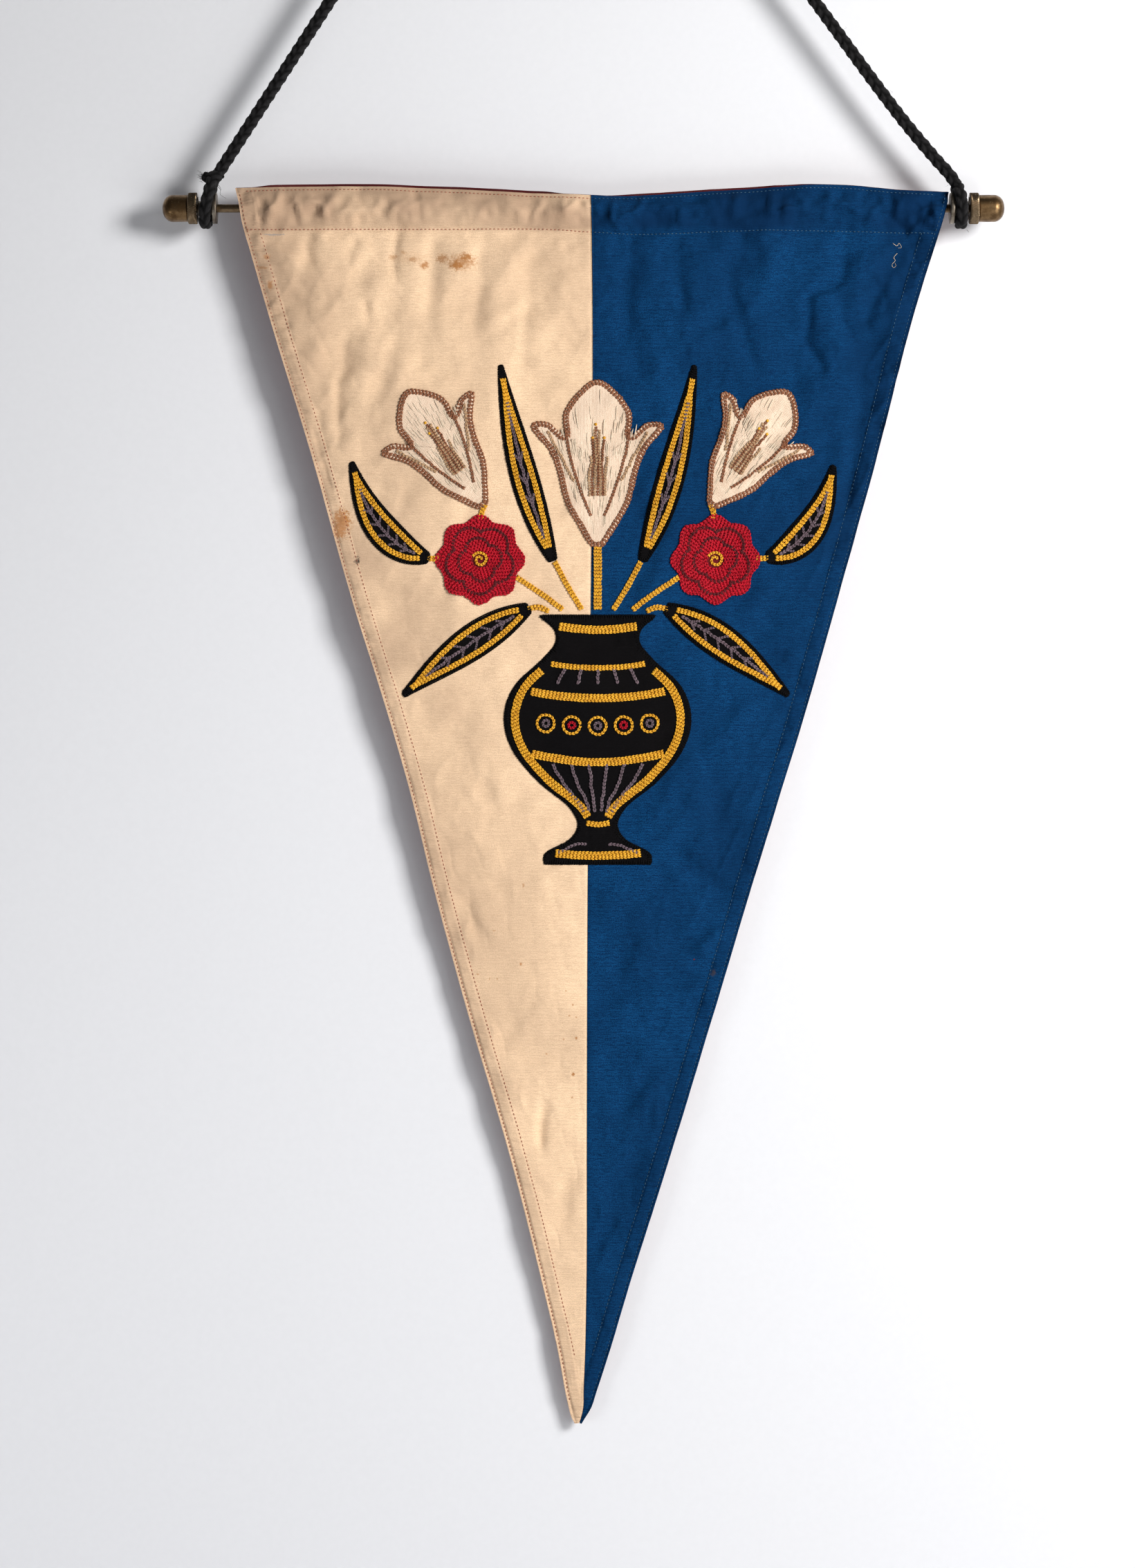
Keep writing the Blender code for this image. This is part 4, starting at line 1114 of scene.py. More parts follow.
    def grid(self, left: Array, right: Array, nominal: Array, columns: int) -> tuple[Array, Array]:
        """Spread points between two edges, closer together towards both of them.

        Args:
            left: The left edge at each row.
            right: The right edge at each row.
            nominal: The rows' nominal drops, of which the heading's follow its edges.
            columns: How many points to put in a row.

        Returns:
            The points' x and their drop.
        """
        even = np.linspace(0, 1, columns)
        across = 0.62 * even + 0.38 * (0.5 - 0.5 * np.cos(np.pi * even))
        x = left[:, None] + (right - left)[:, None] * across
        drop = np.repeat(nominal[:, None], columns, axis=1)
        share = (drop - NOMINAL_TOP) / (NOMINAL_STITCH - NOMINAL_TOP)
        top, stitch = heading_lines(x)
        body = stitch + (TIP_DROP - stitch) * ((drop - NOMINAL_STITCH)
                                               / (TIP_DROP - NOMINAL_STITCH))
        return x, np.where(drop <= NOMINAL_STITCH, -top + (top + stitch) * share, body)


def nominal_rows(heading_rows: int, body_rows: int) -> Array:
    """Give the rows' nominal drops: the heading evenly, and the body closer at the tip."""
    heading = np.linspace(NOMINAL_TOP, NOMINAL_STITCH, heading_rows)
    down = np.linspace(0, 1, body_rows + 1)[1:]
    down = 0.55 * down + 0.45 * down ** 1.9
    return np.concatenate([heading, NOMINAL_STITCH + (TIP_DROP - NOMINAL_STITCH) * down])


@dataclass
class Banner:
    """The cream and blue halves of the front, and the backing behind them."""

    shape: ClothShape
    effects: SharedEffects
    columns: int = 112
    heading_rows: int = 26
    body_rows: int = 304
    backing_columns: int = 96
    backing_rows: int = 124
    seam_gap: float = 0.25 * MM
    layer_gap: float = 0.35 * MM

    def sheet(self, name: str, x: Array, drop: Array, outer: Array, inner: Array,
              node: str, material: Material) -> Piece:
        """Make one thin closed sheet from its outer and inner faces.

        The rim's points are drawn a little inwards on both faces, so that its edge is round.

        Args:
            name: The piece's name.
            x: The points' x, in a grid.
            drop: The points' drop, in the same grid.
            outer: The y of the face that shows.
            inner: The y of the face that is turned to the other layer.
            node: The solid that the sheet stands for.
            material: The cloth's material.

        Returns:
            The sheet.
        """
        rows, columns = x.shape
        middle = (outer + inner) / 2
        edge = np.full(x.shape, 1.0)
        edge[0], edge[-1], edge[:, 0], edge[:, -1] = 0.25, 0.25, 0.25, 0.25
        faces = []
        for y in (outer, inner):
            y = middle + (y - middle) * edge
            faces.append(np.stack([x, y, ROD_Z - drop], axis=-1).reshape(-1, 3))
        points = np.vstack(faces)
        quads = grid_quads(rows, columns)
        rim = grid_rim(rows, columns)
        count = rows * columns
        walls = rim_walls(rim, count)
        uv = np.stack([x, -drop], axis=-1).reshape(-1, 2)
        piece = make_piece(name, points, [quads, quads[:, ::-1] + count, walls[:, ::-1]],
                           material, np.vstack([uv, uv]))
        inside = self.shape.edge_distance(x, drop)
        hem = smooth_step(1 - (inside - INNER_ROW) / (0.6 * MM))
        # The edge mask darkens a band along the sides, partly dirt and partly painted fold shade,
        high_up = 0.2 + 0.8 * smooth_step((560 * MM - drop) / (260 * MM))
        # and a line at the rim as painted shade of its rounded edge; both fade lower down.
        near_edge = (high_up * smooth_step(1 - inside / (75 * MM))
                     + 0.9 * high_up * smooth_step(1 - inside / OUTER_ROW))
        for word, values in (("hem", hem), ("edge", near_edge)):
            add_mask(piece, word, np.tile(values.ravel(), 2))
        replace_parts(piece, node)
        return piece

    def front(self, name: str, node: str, left: Array, right: Array, nominal: Array,
              finish: ClothFinish, stains: Sequence[Stain],
              hem_shade: float) -> tuple[Piece, float]:
        """Make one half of the front, and give its area too."""
        x, drop = self.shape.grid(left, right, nominal, self.columns)
        outer = self.shape.face_y(x, drop)
        material = finish.material(self.effects, stains, hem_shade)
        piece = self.sheet(name, x, drop, outer, outer + SHEET_THICKNESS, node, material)
        widths = right - left
        return piece, float(np.sum((widths[1:] + widths[:-1]) / 2 * np.diff(nominal)))

    def build(self) -> dict[str, Piece]:
        nominal = nominal_rows(self.heading_rows, self.body_rows)
        left, seam, right = self.shape.edges(nominal)
        gap = self.seam_gap / 2
        cream_stains = [stain for stain in STAINS if stain.x < MIDDLE_X]
        blue_stains = [stain for stain in STAINS if stain.x >= MIDDLE_X]
        cream, cream_area = self.front("cream_panel", "front_cream", left, seam - gap, nominal,
                                       CREAM, cream_stains, 0.3)
        blue, blue_area = self.front("blue_panel", "front_blue", seam + gap, right, nominal,
                                     BLUE, blue_stains, 0.25)
        nominal = nominal_rows(self.heading_rows, self.backing_rows)
        left, seam, right = self.shape.edges(nominal)
        halves = [self.shape.grid(a, b, nominal, self.backing_columns // 2)
                  for a, b in ((left + BACKING_INSET, seam), (seam, right - BACKING_INSET))]
        x, drop = (np.hstack([halves[0][k][:, :-1], halves[1][k]]) for k in range(2))
        shows = (smooth_step((6 * MM - x[0]) / (14 * MM))
                 * smooth_step((x[0] + 178 * MM) / (14 * MM)))
        shows += (0.75 * smooth_step((160 * MM - x[0]) / (40 * MM))
                  * smooth_step((x[0] - 26 * MM) / (20 * MM)))
        drop[0] -= BACKING_PROUD * (0.25 + 0.75 * shows)
        drop[-1] -= BACKING_INSET
        fine = self.shape.relief(x, drop)
        fine = np.where(fine > 0, 0.7, 1.05) * fine - self.shape.stitch_groove(x, drop)
        inner = self.shape.backing_y(x, drop) - SHEET_THICKNESS / 2 - fine
        inner += np.where(drop < smooth_line(x, HEADING, "stitch"), 0.2 * MM, 0.0)
        clear = self.shape.face_y(x, drop) + SHEET_THICKNESS + self.layer_gap
        over_rod = self.shape.rod_reach(drop)
        inner = np.maximum(inner, np.where(over_rod > 0, np.maximum(clear, over_rod), clear))
        backing = self.sheet("backing_cloth", x, drop, inner + SHEET_THICKNESS, inner,
                             "backing", RED_BACKING.material(self.effects))
        log.info("cut areas in square metres: %.4f cream, %.4f blue", cream_area, blue_area)
        return {"cream": cream, "blue": blue, "backing": backing}


class StrandBasket:
    """Collects short strands of thread, and makes one piece of those of each kind."""

    RINGS = ((0.13, 0.74), (0.5, 1.0), (0.87, 0.74))
    SIDES = 5

    def __init__(self, shape: ClothShape, effects: SharedEffects) -> None:
        """Start with no strands."""
        self.shape = shape
        self.effects = effects
        self.kept: dict[tuple[str, Thread], list[Array]] = {}

    def lay(self, group: str, thread: Thread, starts: Array, ends: Array, width: float,
            height: float, lift: float, arch: float = 0.0) -> None:
        """Lay strands on the cloth from starts to ends, given as x and drop.

        Args:
            group: The piece that the strands become part of.
            thread: Their thread.
            starts: Where each strand starts.
            ends: Where each strand ends.
            width: How wide the strands are.
            height: How thick the strands are.
            lift: How far their middle lies in front of the cloth's face.
            arch: How much further the middle of each strand's length stands out.
        """
        a = self.shape.place(starts[:, 0], starts[:, 1], lift)
        b = self.shape.place(ends[:, 0], ends[:, 1], lift)
        sizes = np.tile([width, height, arch], (len(a), 1))
        self.kept.setdefault((group, thread), []).append(np.hstack([a, b, sizes]))

    def points(self, rows: Array) -> tuple[Array, Array]:
        """Work out every strand's points: rings about a line that arches from start to end.

        Args:
            rows: A row a strand: start, end, width, height and arch.

        Returns:
            The points and the UV map.
        """
        start, end = rows[:, 0:3], rows[:, 3:6]
        width, height, arch = (rows[:, k:k + 1] for k in (6, 7, 8))
        along = end - start
        length = np.linalg.norm(along, axis=1, keepdims=True)
        up = np.array([[0.0, -1.0, 0.0]])
        across = np.cross(along, up)
        across /= np.maximum(np.linalg.norm(across, axis=1, keepdims=True), 1e-9)
        up = np.cross(across, along / np.maximum(length, 1e-9))
        angle = TURN * np.arange(self.SIDES) / self.SIDES
        pieces, maps = [], []
        shade = np.arange(len(rows))[:, None] * 0.731
        for t, share in ((0.0, 0.0), *self.RINGS, (1.0, 0.0)):
            middle = start + along * t + up * arch * 4 * t * (1 - t)
            middle = middle - up * height * 0.35 * (abs(2 * t - 1) ** 3)
            angles = angle if share else angle[:1]
            for value in angles:
                pieces.append(middle + across * width / 2 * share * math.cos(value)
                              + up * height / 2 * share * math.sin(value))
                maps.append(np.hstack([np.full((len(rows), 1), value / TURN) + shade,
                                       t * length / np.maximum(width, 1e-9) + shade]))
        return (np.stack(pieces, axis=1).reshape(-1, 3), np.stack(maps, axis=1).reshape(-1, 2))

    def faces(self, count: int) -> Faces:
        """Give the triangles of that many strands."""
        n = self.SIDES
        j = np.arange(n)
        after = (j + 1) % n
        last = 1 + n * len(self.RINGS)
        parts = [np.stack([np.zeros(n, int), 1 + after, 1 + j], axis=1)]
        for ring in range(len(self.RINGS) - 1):
            a, b = 1 + ring * n + j, 1 + ring * n + after
            parts += [np.stack([a, b, b + n], axis=1), np.stack([a, b + n, a + n], axis=1)]
        end = last - n
        parts.append(np.stack([np.full(n, last), end + j, end + after], axis=1))
        template = np.vstack(parts)
        steps = np.arange(count)[:, None, None] * (last + 1)
        return (template[None] + steps).reshape(-1, 3)

    def make(self) -> list[Piece]:
        """Make the pieces."""
        materials = {}
        made = []
        for (group, thread), parts in sorted(self.kept.items(), key=lambda item: item[0][0]):
            rows = np.vstack(parts)
            finish = THREADS[thread]
            if thread not in materials:
                materials[thread] = finish.material(self.effects)
            points, uv = self.points(rows)
            made.append(make_piece(f"{group}_{thread.value}", points, [self.faces(len(rows))],
                                   materials[thread], uv))
        return made


@dataclass
class Sewing:
    """The machine stitches of the hems and the heading."""

    shape: ClothShape
    basket: StrandBasket
    stitch: float = 1.4 * MM
    width: float = 0.5 * MM
    heading_width: float = 0.58 * MM
    height: float = 0.5 * MM
    lift: float = 0.22 * MM
    arch: float = 0.1 * MM

    def row(self, x: Array, drop: Array, thread: Thread, group: str,
            width: float | None = None) -> None:
        """Sew along a line: a stitch for each pitch, with a gap before the next."""
        even = even_line(np.column_stack([x, drop]), SEWING_PITCH)
        step = (even[1:] - even[:-1]) * (self.stitch / SEWING_PITCH)
        self.basket.lay(group, thread, even[:-1], even[:-1] + step, width or self.width,
                        self.height, self.lift, self.arch)

    def side_rows(self) -> None:
        """Sew the two rows down each side hem."""
        stitch_end = 2.0 * MM
        for inset, low in ((OUTER_ROW, 690 * MM), (INNER_ROW, 664 * MM)):
            drop = np.linspace(-8 * MM, low, 240)
            left, seam, right = self.shape.edges(drop)
            slant = inset / SQUARE_TO_SIDE
            wander = 0.16 * MM * soft_noise(drop, drop * 0, 30 * MM, int(inset / MM) + 2)
            x = left + slant + wander
            keep = (x < seam - stitch_end) & ((inset == OUTER_ROW) | (drop > 12 * MM))
            self.row(x[keep], drop[keep], Thread.SEWING_BROWN, "hem_stitches")
            x = right - slant + wander
            keep = (x > seam + stitch_end) & ((inset == OUTER_ROW) | (drop > 14 * MM))
            self.row(x[keep], drop[keep], Thread.SEWING_BLUE, "hem_stitches")

    def heading_rows(self) -> None:
        """Sew under the rod and along the top edge, cream and blue apart."""
        for start, end, thread in ((-180 * MM, MIDDLE_X - MM, Thread.SEWING_BROWN),
                                   (MIDDLE_X + MM, 218 * MM, Thread.SEWING_BLUE)):
            x = np.linspace(start, end, 160)
            wander = 0.15 * MM * soft_noise(x, x * 0, 24 * MM, 31)
            top, stitch = heading_lines(x)
            self.row(x, stitch + wander, thread, "heading_stitches", self.heading_width)
            self.row(x, -top + EDGE_ROW + wander, thread, "edge_stitches")

    def build(self) -> None:
        """Sew every row."""
        self.side_rows()
        self.heading_rows()


# The sewn design, measured from the middle of the urn's foot: side to the right, and up.
FOOT_X = 23.2 * MM
FOOT_DROP = 379.4 * MM
ROSE_RADIUS = 24.0 * MM
ROSE_LOBES = 8
ROSE_LOBE_DEPTH = 0.07
LEAF_BLUNTNESS = 0.06
LEAF_REACH = 0.9
LEAF_SWELL = 0.85


@dataclass(frozen=True)
class UrnPoint:
    """Half the urn's width at one height above its foot."""

    height: float
    half_width: float


@dataclass(frozen=True)
class Leaf:
    """A leaf's midrib as a bent line, with its greatest half width."""

    name: str
    base: tuple[float, float]
    bend: tuple[float, float]
    tip: tuple[float, float]
    half_width: float


@dataclass(frozen=True)
class Lily:
    """A lily, which stands on its base and leans by its turn, in degrees clockwise."""

    name: str
    base: tuple[float, float]
    height: float
    turn: float


@dataclass(frozen=True)
class Rose:
    """A rose about its middle."""

    name: str
    middle: tuple[float, float]


URN = in_mm(UrnPoint, (
    (0, 31), (6, 30), (13, 17), (22, 11), (32, 15), (48, 34), (66, 49), (86, 54), (104, 47),
    (118, 32), (128, 24), (136, 25), (144, 34)))

LEAVES = [
    Leaf("leaf_low_left", (-40, 148), (-74, 130), (-112, 98), 9.5),
    Leaf("leaf_low_right", (40, 148), (74, 130), (110, 98), 9.5),
    Leaf("leaf_out_left", (-98, 177), (-130, 184), (-142, 232), 9),
    Leaf("leaf_out_right", (98, 177), (128, 184), (136, 230), 9),
    Leaf("leaf_high_left", (-26, 176), (-46, 225), (-56, 288), 7.5),
    Leaf("leaf_high_right", (26, 176), (46, 225), (56, 288), 7.5)]

LILIES = [
    Lily("lily_middle", (0, 184), 96, 0),
    Lily("lily_left", (-66, 207), 80, -34),
    Lily("lily_right", (66, 207), 80, 34)]

ROSES = [Rose("rose_left", (-68, 176)), Rose("rose_right", (68, 176))]

# Half of a lily's outline, in parts of its height, from its base to its tip.
LILY_OUTLINE = (
    (0.035, 0), (0.1, 0.1), (0.19, 0.26), (0.235, 0.44), (0.29, 0.58),
    (0.4, 0.72), (0.3, 0.74), (0.195, 0.66), (0.2, 0.8), (0.11, 0.93))
LILY_TIP = (0, 1)
LILY_CENTRE = 0.5

# Stems, each from the urn's mouth or a flower to what it carries, on the left side.
STEMS = (
    ((-20, 147), (-32, 156), (-47, 166)),
    ((-9, 147), (-17, 160), (-25, 175)),
    ((-28, 146), (-34, 148.5), (-41, 147.5)),
    ((-91, 177), (-95, 176.5), (-99, 177)),
    ((-67, 199), (-67, 203), (-65, 208)))


def round_path(reach: Array | float, angle: Array) -> Array:
    """Give places at a reach and an angle from the middle."""
    return np.column_stack([reach * np.cos(angle), reach * np.sin(angle)])


def to_cloth(design: Array) -> Array:
    """Turn places on the design, in metres from the urn's foot, into x and drop."""
    return np.column_stack([FOOT_X + design[:, 0], FOOT_DROP - design[:, 1]])


def leaf_rib(leaf: Leaf, t: Array) -> Array:
    """Give points on a leaf's midrib: a curve of the second degree through its bend."""
    base, bend, tip = (np.array(point) * MM for point in (leaf.base, leaf.bend, leaf.tip))
    return (np.outer((1 - t) ** 2, base) + np.outer(2 * t * (1 - t), bend)
            + np.outer(t * t, tip))


def leaf_half(leaf: Leaf, t: Array) -> Array:
    """Give a leaf's half width along it: the sine of a swelling share of its length."""
    swell = (LEAF_BLUNTNESS + LEAF_REACH * t) ** LEAF_SWELL
    return leaf.half_width * MM * np.sin(np.pi * swell)


def lily_outline(count: int) -> Array:
    """Give evenly spaced points round a lily of height 1 that stands on the origin."""
    half = np.array(LILY_OUTLINE)
    closed = np.vstack([half, [LILY_TIP], half[::-1] * (-1, 1), half[:1]])
    fine = smooth_path(closed, 8)
    lengths = line_lengths(fine)
    places = np.linspace(0, lengths[-1], count, endpoint=False)
    return np.column_stack([np.interp(places, lengths, column) for column in fine.T])


def lily_place(lily: Lily, shape: Array) -> Array:
    """Put points of a lily of height 1 where one of the lilies is."""
    turn = math.radians(lily.turn)
    across = np.array([math.cos(turn), -math.sin(turn)])
    upward = np.array([math.sin(turn), math.cos(turn)])
    size = lily.height * MM
    return np.array(lily.base) * MM + size * (shape[:, :1] * across + shape[:, 1:] * upward)


def rose_outline(rose: Rose, radius: float, count: int) -> Array:
    """Give points round a rose: a circle with eight shallow lobes."""
    angle = np.linspace(0, TURN, count, endpoint=False)
    reach = radius * (1 + ROSE_LOBE_DEPTH * np.cos(ROSE_LOBES * angle))
    middle = np.array(rose.middle) * MM
    return middle + round_path(reach, angle)


@dataclass
class SewnDesign:
    """The urn, leaves, lilies and roses, with all their stitches."""

    shape: ClothShape
    effects: SharedEffects
    basket: StrandBasket
    patch_lift: float = 0.85 * MM
    patch_low: float = 0.02 * MM
    patch_edge: float = 1.6 * MM
    edge_pitch: float = 1.35 * MM
    edge_stray: float = 0.25
    edge_lean: float = 0.25 * MM
    chain_pitch: float = 2.1 * MM
    chain_arch: float = 0.42 * MM
    row_width: float = 1.6 * MM
    row_spacing: float = 1.55 * MM
    thread_width: float = 1.0 * MM
    thread_height: float = 0.72 * MM

    def __post_init__(self) -> None:
        """Start the small unevenness of handwork, the same at each run."""
        self.hand = np.random.default_rng(40)

    def patch(self, name: str, design: Array, inside: Array, faces: Sequence[Faces], rim: Faces,
              uv: Array, material: Material) -> Piece:
        """Make a sewn piece, a closed thin shape whose edge rounds down to the cloth.

        Args:
            name: The solid's name.
            design: The points' places on the design.
            inside: How far each point is inside the outline.
            faces: The faces over the points.
            rim: The points round the edge, in order.
            uv: The points' place on the cut cloth, in metres.
            material: The cloth's material.

        Returns:
            The piece.
        """
        flat = to_cloth(design)
        rise = np.sqrt(1 - (1 - np.clip(inside / self.patch_edge, 0, 1)) ** 2)
        lift = self.patch_low + 0.12 * MM + (self.patch_lift - 0.12 * MM) * rise
        top = self.shape.place(flat[:, 0], flat[:, 1], lift)
        low = self.shape.place(flat[:, 0], flat[:, 1], self.patch_low)
        count = len(flat)
        walls = rim_walls(rim, count)
        sets = [faces_of for part in faces for faces_of in (part, part[:, ::-1] + count)]
        if not self.same_way(faces, rim):
            walls = walls[:, ::-1]
        piece = make_piece(name + "_cloth", np.vstack([top, low]), [*sets, walls], material,
                           np.vstack([uv, uv]))
        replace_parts(piece, name)
        return piece

    @staticmethod
    def same_way(faces: Sequence[Faces], rim: Faces) -> bool:
        """Tell whether the rim's walls need no turning to match the faces beside them."""
        a, b = int(rim[0]), int(rim[1])
        for part in faces:
            after = np.roll(part, -1, axis=1)
            if np.any((part == a) & (after == b)):
                return False
        return True

    def black_patch(self, name: str, places: Array, inside: Array, material: Material) -> None:
        """Make a patch of black cotton from a grid of places on the design."""
        design = places.reshape(-1, 2)
        self.patch(name, design, inside.ravel(), [grid_quads(*inside.shape)],
                   grid_rim(*inside.shape), design, material)

    def urn_line(self, height: Array, share: Array) -> Array:
        """Give places on the urn from a height and a share of its half width there."""
        half = smooth_line(height, URN, "half_width")
        return np.column_stack([half * share, height])

    def urn_cloth(self, material: Material) -> None:
        """Make the urn's black cloth: half widths at heights, spread across."""
        rows, columns = 110, 40
        up = np.linspace(0, URN[-1].height, rows)
        across = np.sin(np.linspace(-np.pi / 2, np.pi / 2, columns))
        half = smooth_line(up, URN, "half_width")
        side = half[:, None] * across
        height = np.repeat(up[:, None], columns, axis=1)
        inside = np.minimum(half[:, None] - np.abs(side),
                            np.minimum(height, URN[-1].height - height))
        self.black_patch("urn", np.stack([side, height], axis=-1), inside, material)

    def leaf_cloths(self, material: Material) -> None:
        """Make each leaf's black cloth along its midrib."""
        rows, columns = 60, 15
        t = np.linspace(0, 1, rows)
        across = np.sin(np.linspace(-np.pi / 2, np.pi / 2, columns))
        for leaf in LEAVES:
            rib, half = leaf_rib(leaf, t), leaf_half(leaf, t)
            side = side_steps(rib)
            places = rib[:, None] + side[:, None] * (half[:, None] * across)[..., None]
            inside = half[:, None] * (1 - np.abs(across))
            self.black_patch(leaf.name, places, inside, material)

    def disc(self, name: str, outline: Array, centre: Array, uv_turn: float,
             material: Material) -> None:
        """Make a patch in rings about its centre, whose UV map is turned by an angle."""
        count, rings = len(outline), 12
        shares = np.sin(np.linspace(0, np.pi / 2, rings + 1))[1:]
        places = centre + shares[:, None, None] * (outline - centre)
        design = np.vstack([centre[None], places.reshape(-1, 2)])
        reach = np.linalg.norm(outline - centre, axis=1)
        inside = np.concatenate([[reach.min()], ((1 - shares[:, None]) * reach).ravel()])
        k = np.arange(count)
        fan = np.stack([np.zeros(count, int), 1 + k, 1 + (k + 1) % count], axis=1)
        quads = grid_quads(rings, count, wrap_columns=True)[:, ::-1] + 1
        rim = 1 + (rings - 1) * count + k
        cos, sin = math.cos(uv_turn), math.sin(uv_turn)
        uv = design @ np.array([[cos, sin], [-sin, cos]])
        self.patch(name, design, inside, [fan, quads], rim, uv, material)

    def chain(self, group: str, thread: Thread, design: Array, lift: float,
              pitch: float | None = None, width: float | None = None,
              wobble: float = 0.12 * MM) -> None:
        """Sew a row of chain stitch: a pair of strands a link, spread like a V.

        Each link starts between the strands of the one before and opens to the row's
        width, and it runs a quarter of the pitch under the next.

        Args:
            group: The piece that the row becomes part of.
            thread: Its thread.
            design: The line that the row follows, on the design.
            lift: How far the row lies in front of the cloth's face.
            pitch: The length of a link.
            width: The row's width.
            wobble: How far the hand strays from the line.
        """
        pitch, width = pitch or self.chain_pitch, width or self.row_width
        line = even_line(design, pitch)
        if len(line) < 3:
            return
        line = line + self.hand.normal(0, wobble, line.shape)
        side = side_steps(line)
        start, end = line[:-1], line[1:] + (line[1:] - line[:-1]) * 0.12
        for hand in (-1, 1):
            a = to_cloth(start + side[:-1] * hand * width * 0.07)
            b = to_cloth(end + side[1:] * hand * width * 0.40)
            self.basket.lay(group, thread, a, b, self.thread_width * width / self.row_width,
                            self.thread_height, lift, self.chain_arch)

    def band(self, group: str, thread: Thread, design: Array, lift: float, rows: int) -> None:
        """Sew rows of chain stitch side by side along a line."""
        even = even_line(design, 1.5 * MM)
        side = side_steps(even)
        for k in range(rows):
            self.chain(group, thread, even + side * (k - (rows - 1) / 2) * self.row_spacing,
                       lift, wobble=0.09 * MM)

    def overcast(self, outline: Array, group: str, reach_in: float = 2.4 * MM,
                 reach_out: float = 0.9 * MM) -> None:
        """Sew over a black patch's edge: strands square to the outline, and one along each.

        Args:
            outline: The patch's closed outline on the design, anticlockwise.
            group: The piece that the stitches become part of.
            reach_in: How far they reach inside the outline.
            reach_out: How far they reach outside it.
        """
        line = even_line(np.vstack([outline, outline[:1]]), self.edge_pitch)
        side = side_steps(line)
        uneven = 1 + self.hand.normal(0, self.edge_stray, (len(line), 2))
        lean = self.hand.normal(0, self.edge_lean, line.shape)
        inner = line + side * reach_in * uneven[:, :1] + lean
        outer = line - side * reach_out * uneven[:, 1:]
        self.basket.lay(group, Thread.BLACK, to_cloth(inner), to_cloth(outer), width=1.0 * MM,
                        height=0.62 * MM, lift=self.patch_lift * 0.8, arch=0.35 * MM)
        edge = line - side * reach_out * 0.6
        self.basket.lay(group, Thread.BLACK, to_cloth(edge[:-1]), to_cloth(edge[1:]),
                        width=0.95 * MM, height=0.7 * MM, lift=0.35 * MM, arch=0.2 * MM)

    def sew_urn(self) -> None:
        """Sew the urn: its edge, gold bands, mauve flutes and a ring of gold rounds."""
        top = self.patch_lift + 0.25 * MM
        height = np.linspace(0.6 * MM, URN[-1].height - 0.6 * MM, 260)
        right = self.urn_line(height, np.full(260, 0.985))
        outline = np.vstack([right, (right * (-1, 1))[::-1]])
        self.overcast(outline, "urn_edge")
        belly = np.linspace(27 * MM, 112 * MM, 90)
        inset = 1 - 6.2 * MM / smooth_line(belly, URN, "half_width")
        for hand in (-1, 1):
            self.band("urn_bands", Thread.GOLD, self.urn_line(belly, hand * inset), top, 3)
        across = np.linspace(-1, 1, 60)
        for level, share, rows, bow in ((6.5, 0.84, 3, 1.5), (24.0, 0.62, 2, 1.0),
                                        (64.0, 0.80, 3, 5.0), (100.0, 0.78, 3, 4.0),
                                        (116.0, 0.80, 2, 2.5), (137.5, 0.86, 3, 2.0)):
            height = (level - bow * (1 - across ** 2)) * MM
            line = self.urn_line(height, across * share)
            self.band("urn_bands", Thread.GOLD, line, top, rows)
        flute = np.linspace(30 * MM, 58 * MM, 40)
        upper = np.linspace(104 * MM, 113 * MM, 14)
        for line, shares, wobble in ((flute, (-0.6, -0.36, -0.12, 0.12, 0.36, 0.6), 0.25 * MM),
                                     (upper, (-0.5, -0.25, 0.0, 0.25, 0.5), 0.2 * MM)):
            for share in shares:
                self.chain("urn_flutes", Thread.MAUVE,
                           self.urn_line(line, np.full(len(line), share)), top,
                           width=1.9 * MM, wobble=wobble)
        angle = np.linspace(0, TURN, 40)
        for k, side in enumerate((-30.0, -15.0, 0.0, 15.0, 30.0)):
            middle = np.array([side, 80.0 + 0.0016 * side * side]) * MM
            ring = round_path(1.0, angle)
            self.chain("urn_rounds", Thread.GOLD, middle + ring * 5.0 * MM, top)
            self.chain("urn_hearts", Thread.RED if k % 2 else Thread.MAUVE,
                       middle + ring * 1.9 * MM, top, pitch=1.5 * MM)
        for side in (-1, 1):
            curl = np.linspace(0, 1, 30)
            foot = np.column_stack([side * (6 + 17 * curl), 11.5 + 0.5 * np.sin(curl * 6)
                                    - 4.6 * curl ** 2]) * MM
            self.chain("urn_flutes", Thread.MAUVE, foot, top, wobble=0.2 * MM)

    def sew_leaves(self) -> None:
        """Sew each leaf: its edge, a gold line inside it, a mauve midrib and side veins."""
        top = self.patch_lift + 0.25 * MM
        t = np.linspace(0, 1, 120)
        for leaf in LEAVES:
            rib, half = leaf_rib(leaf, t), leaf_half(leaf, t)
            side = side_steps(rib)
            outline = np.vstack([rib - side * half[:, None],
                                 (rib + side * half[:, None])[::-1]])
            self.overcast(outline, leaf.name + "_edge", reach_in=1.9 * MM, reach_out=0.8 * MM)
            inner = slice(8, 113)
            for hand in (-1, 1):
                line = rib[inner] + hand * side[inner] * (half[inner, None] - 3.0 * MM).clip(0)
                self.band("leaf_lines", Thread.GOLD, line, top, 2)
            self.chain("leaf_veins", Thread.MAUVE, rib[14:100], top, width=1.8 * MM,
                       wobble=0.2 * MM)
            for at in range(24, 90, 13):
                for hand in (-1, 1):
                    reach = max(half[at] - 4.6 * MM, 0.0)
                    if reach > 2.4 * MM:
                        s = np.linspace(0, 1, 8)[:, None]
                        along = (rib[at + 4] - rib[at]) * 1.6
                        vein = rib[at] + s * (hand * side[at] * reach + along)
                        self.chain("leaf_veins", Thread.MAUVE, vein, top, pitch=1.5 * MM,
                                   width=1.3 * MM)

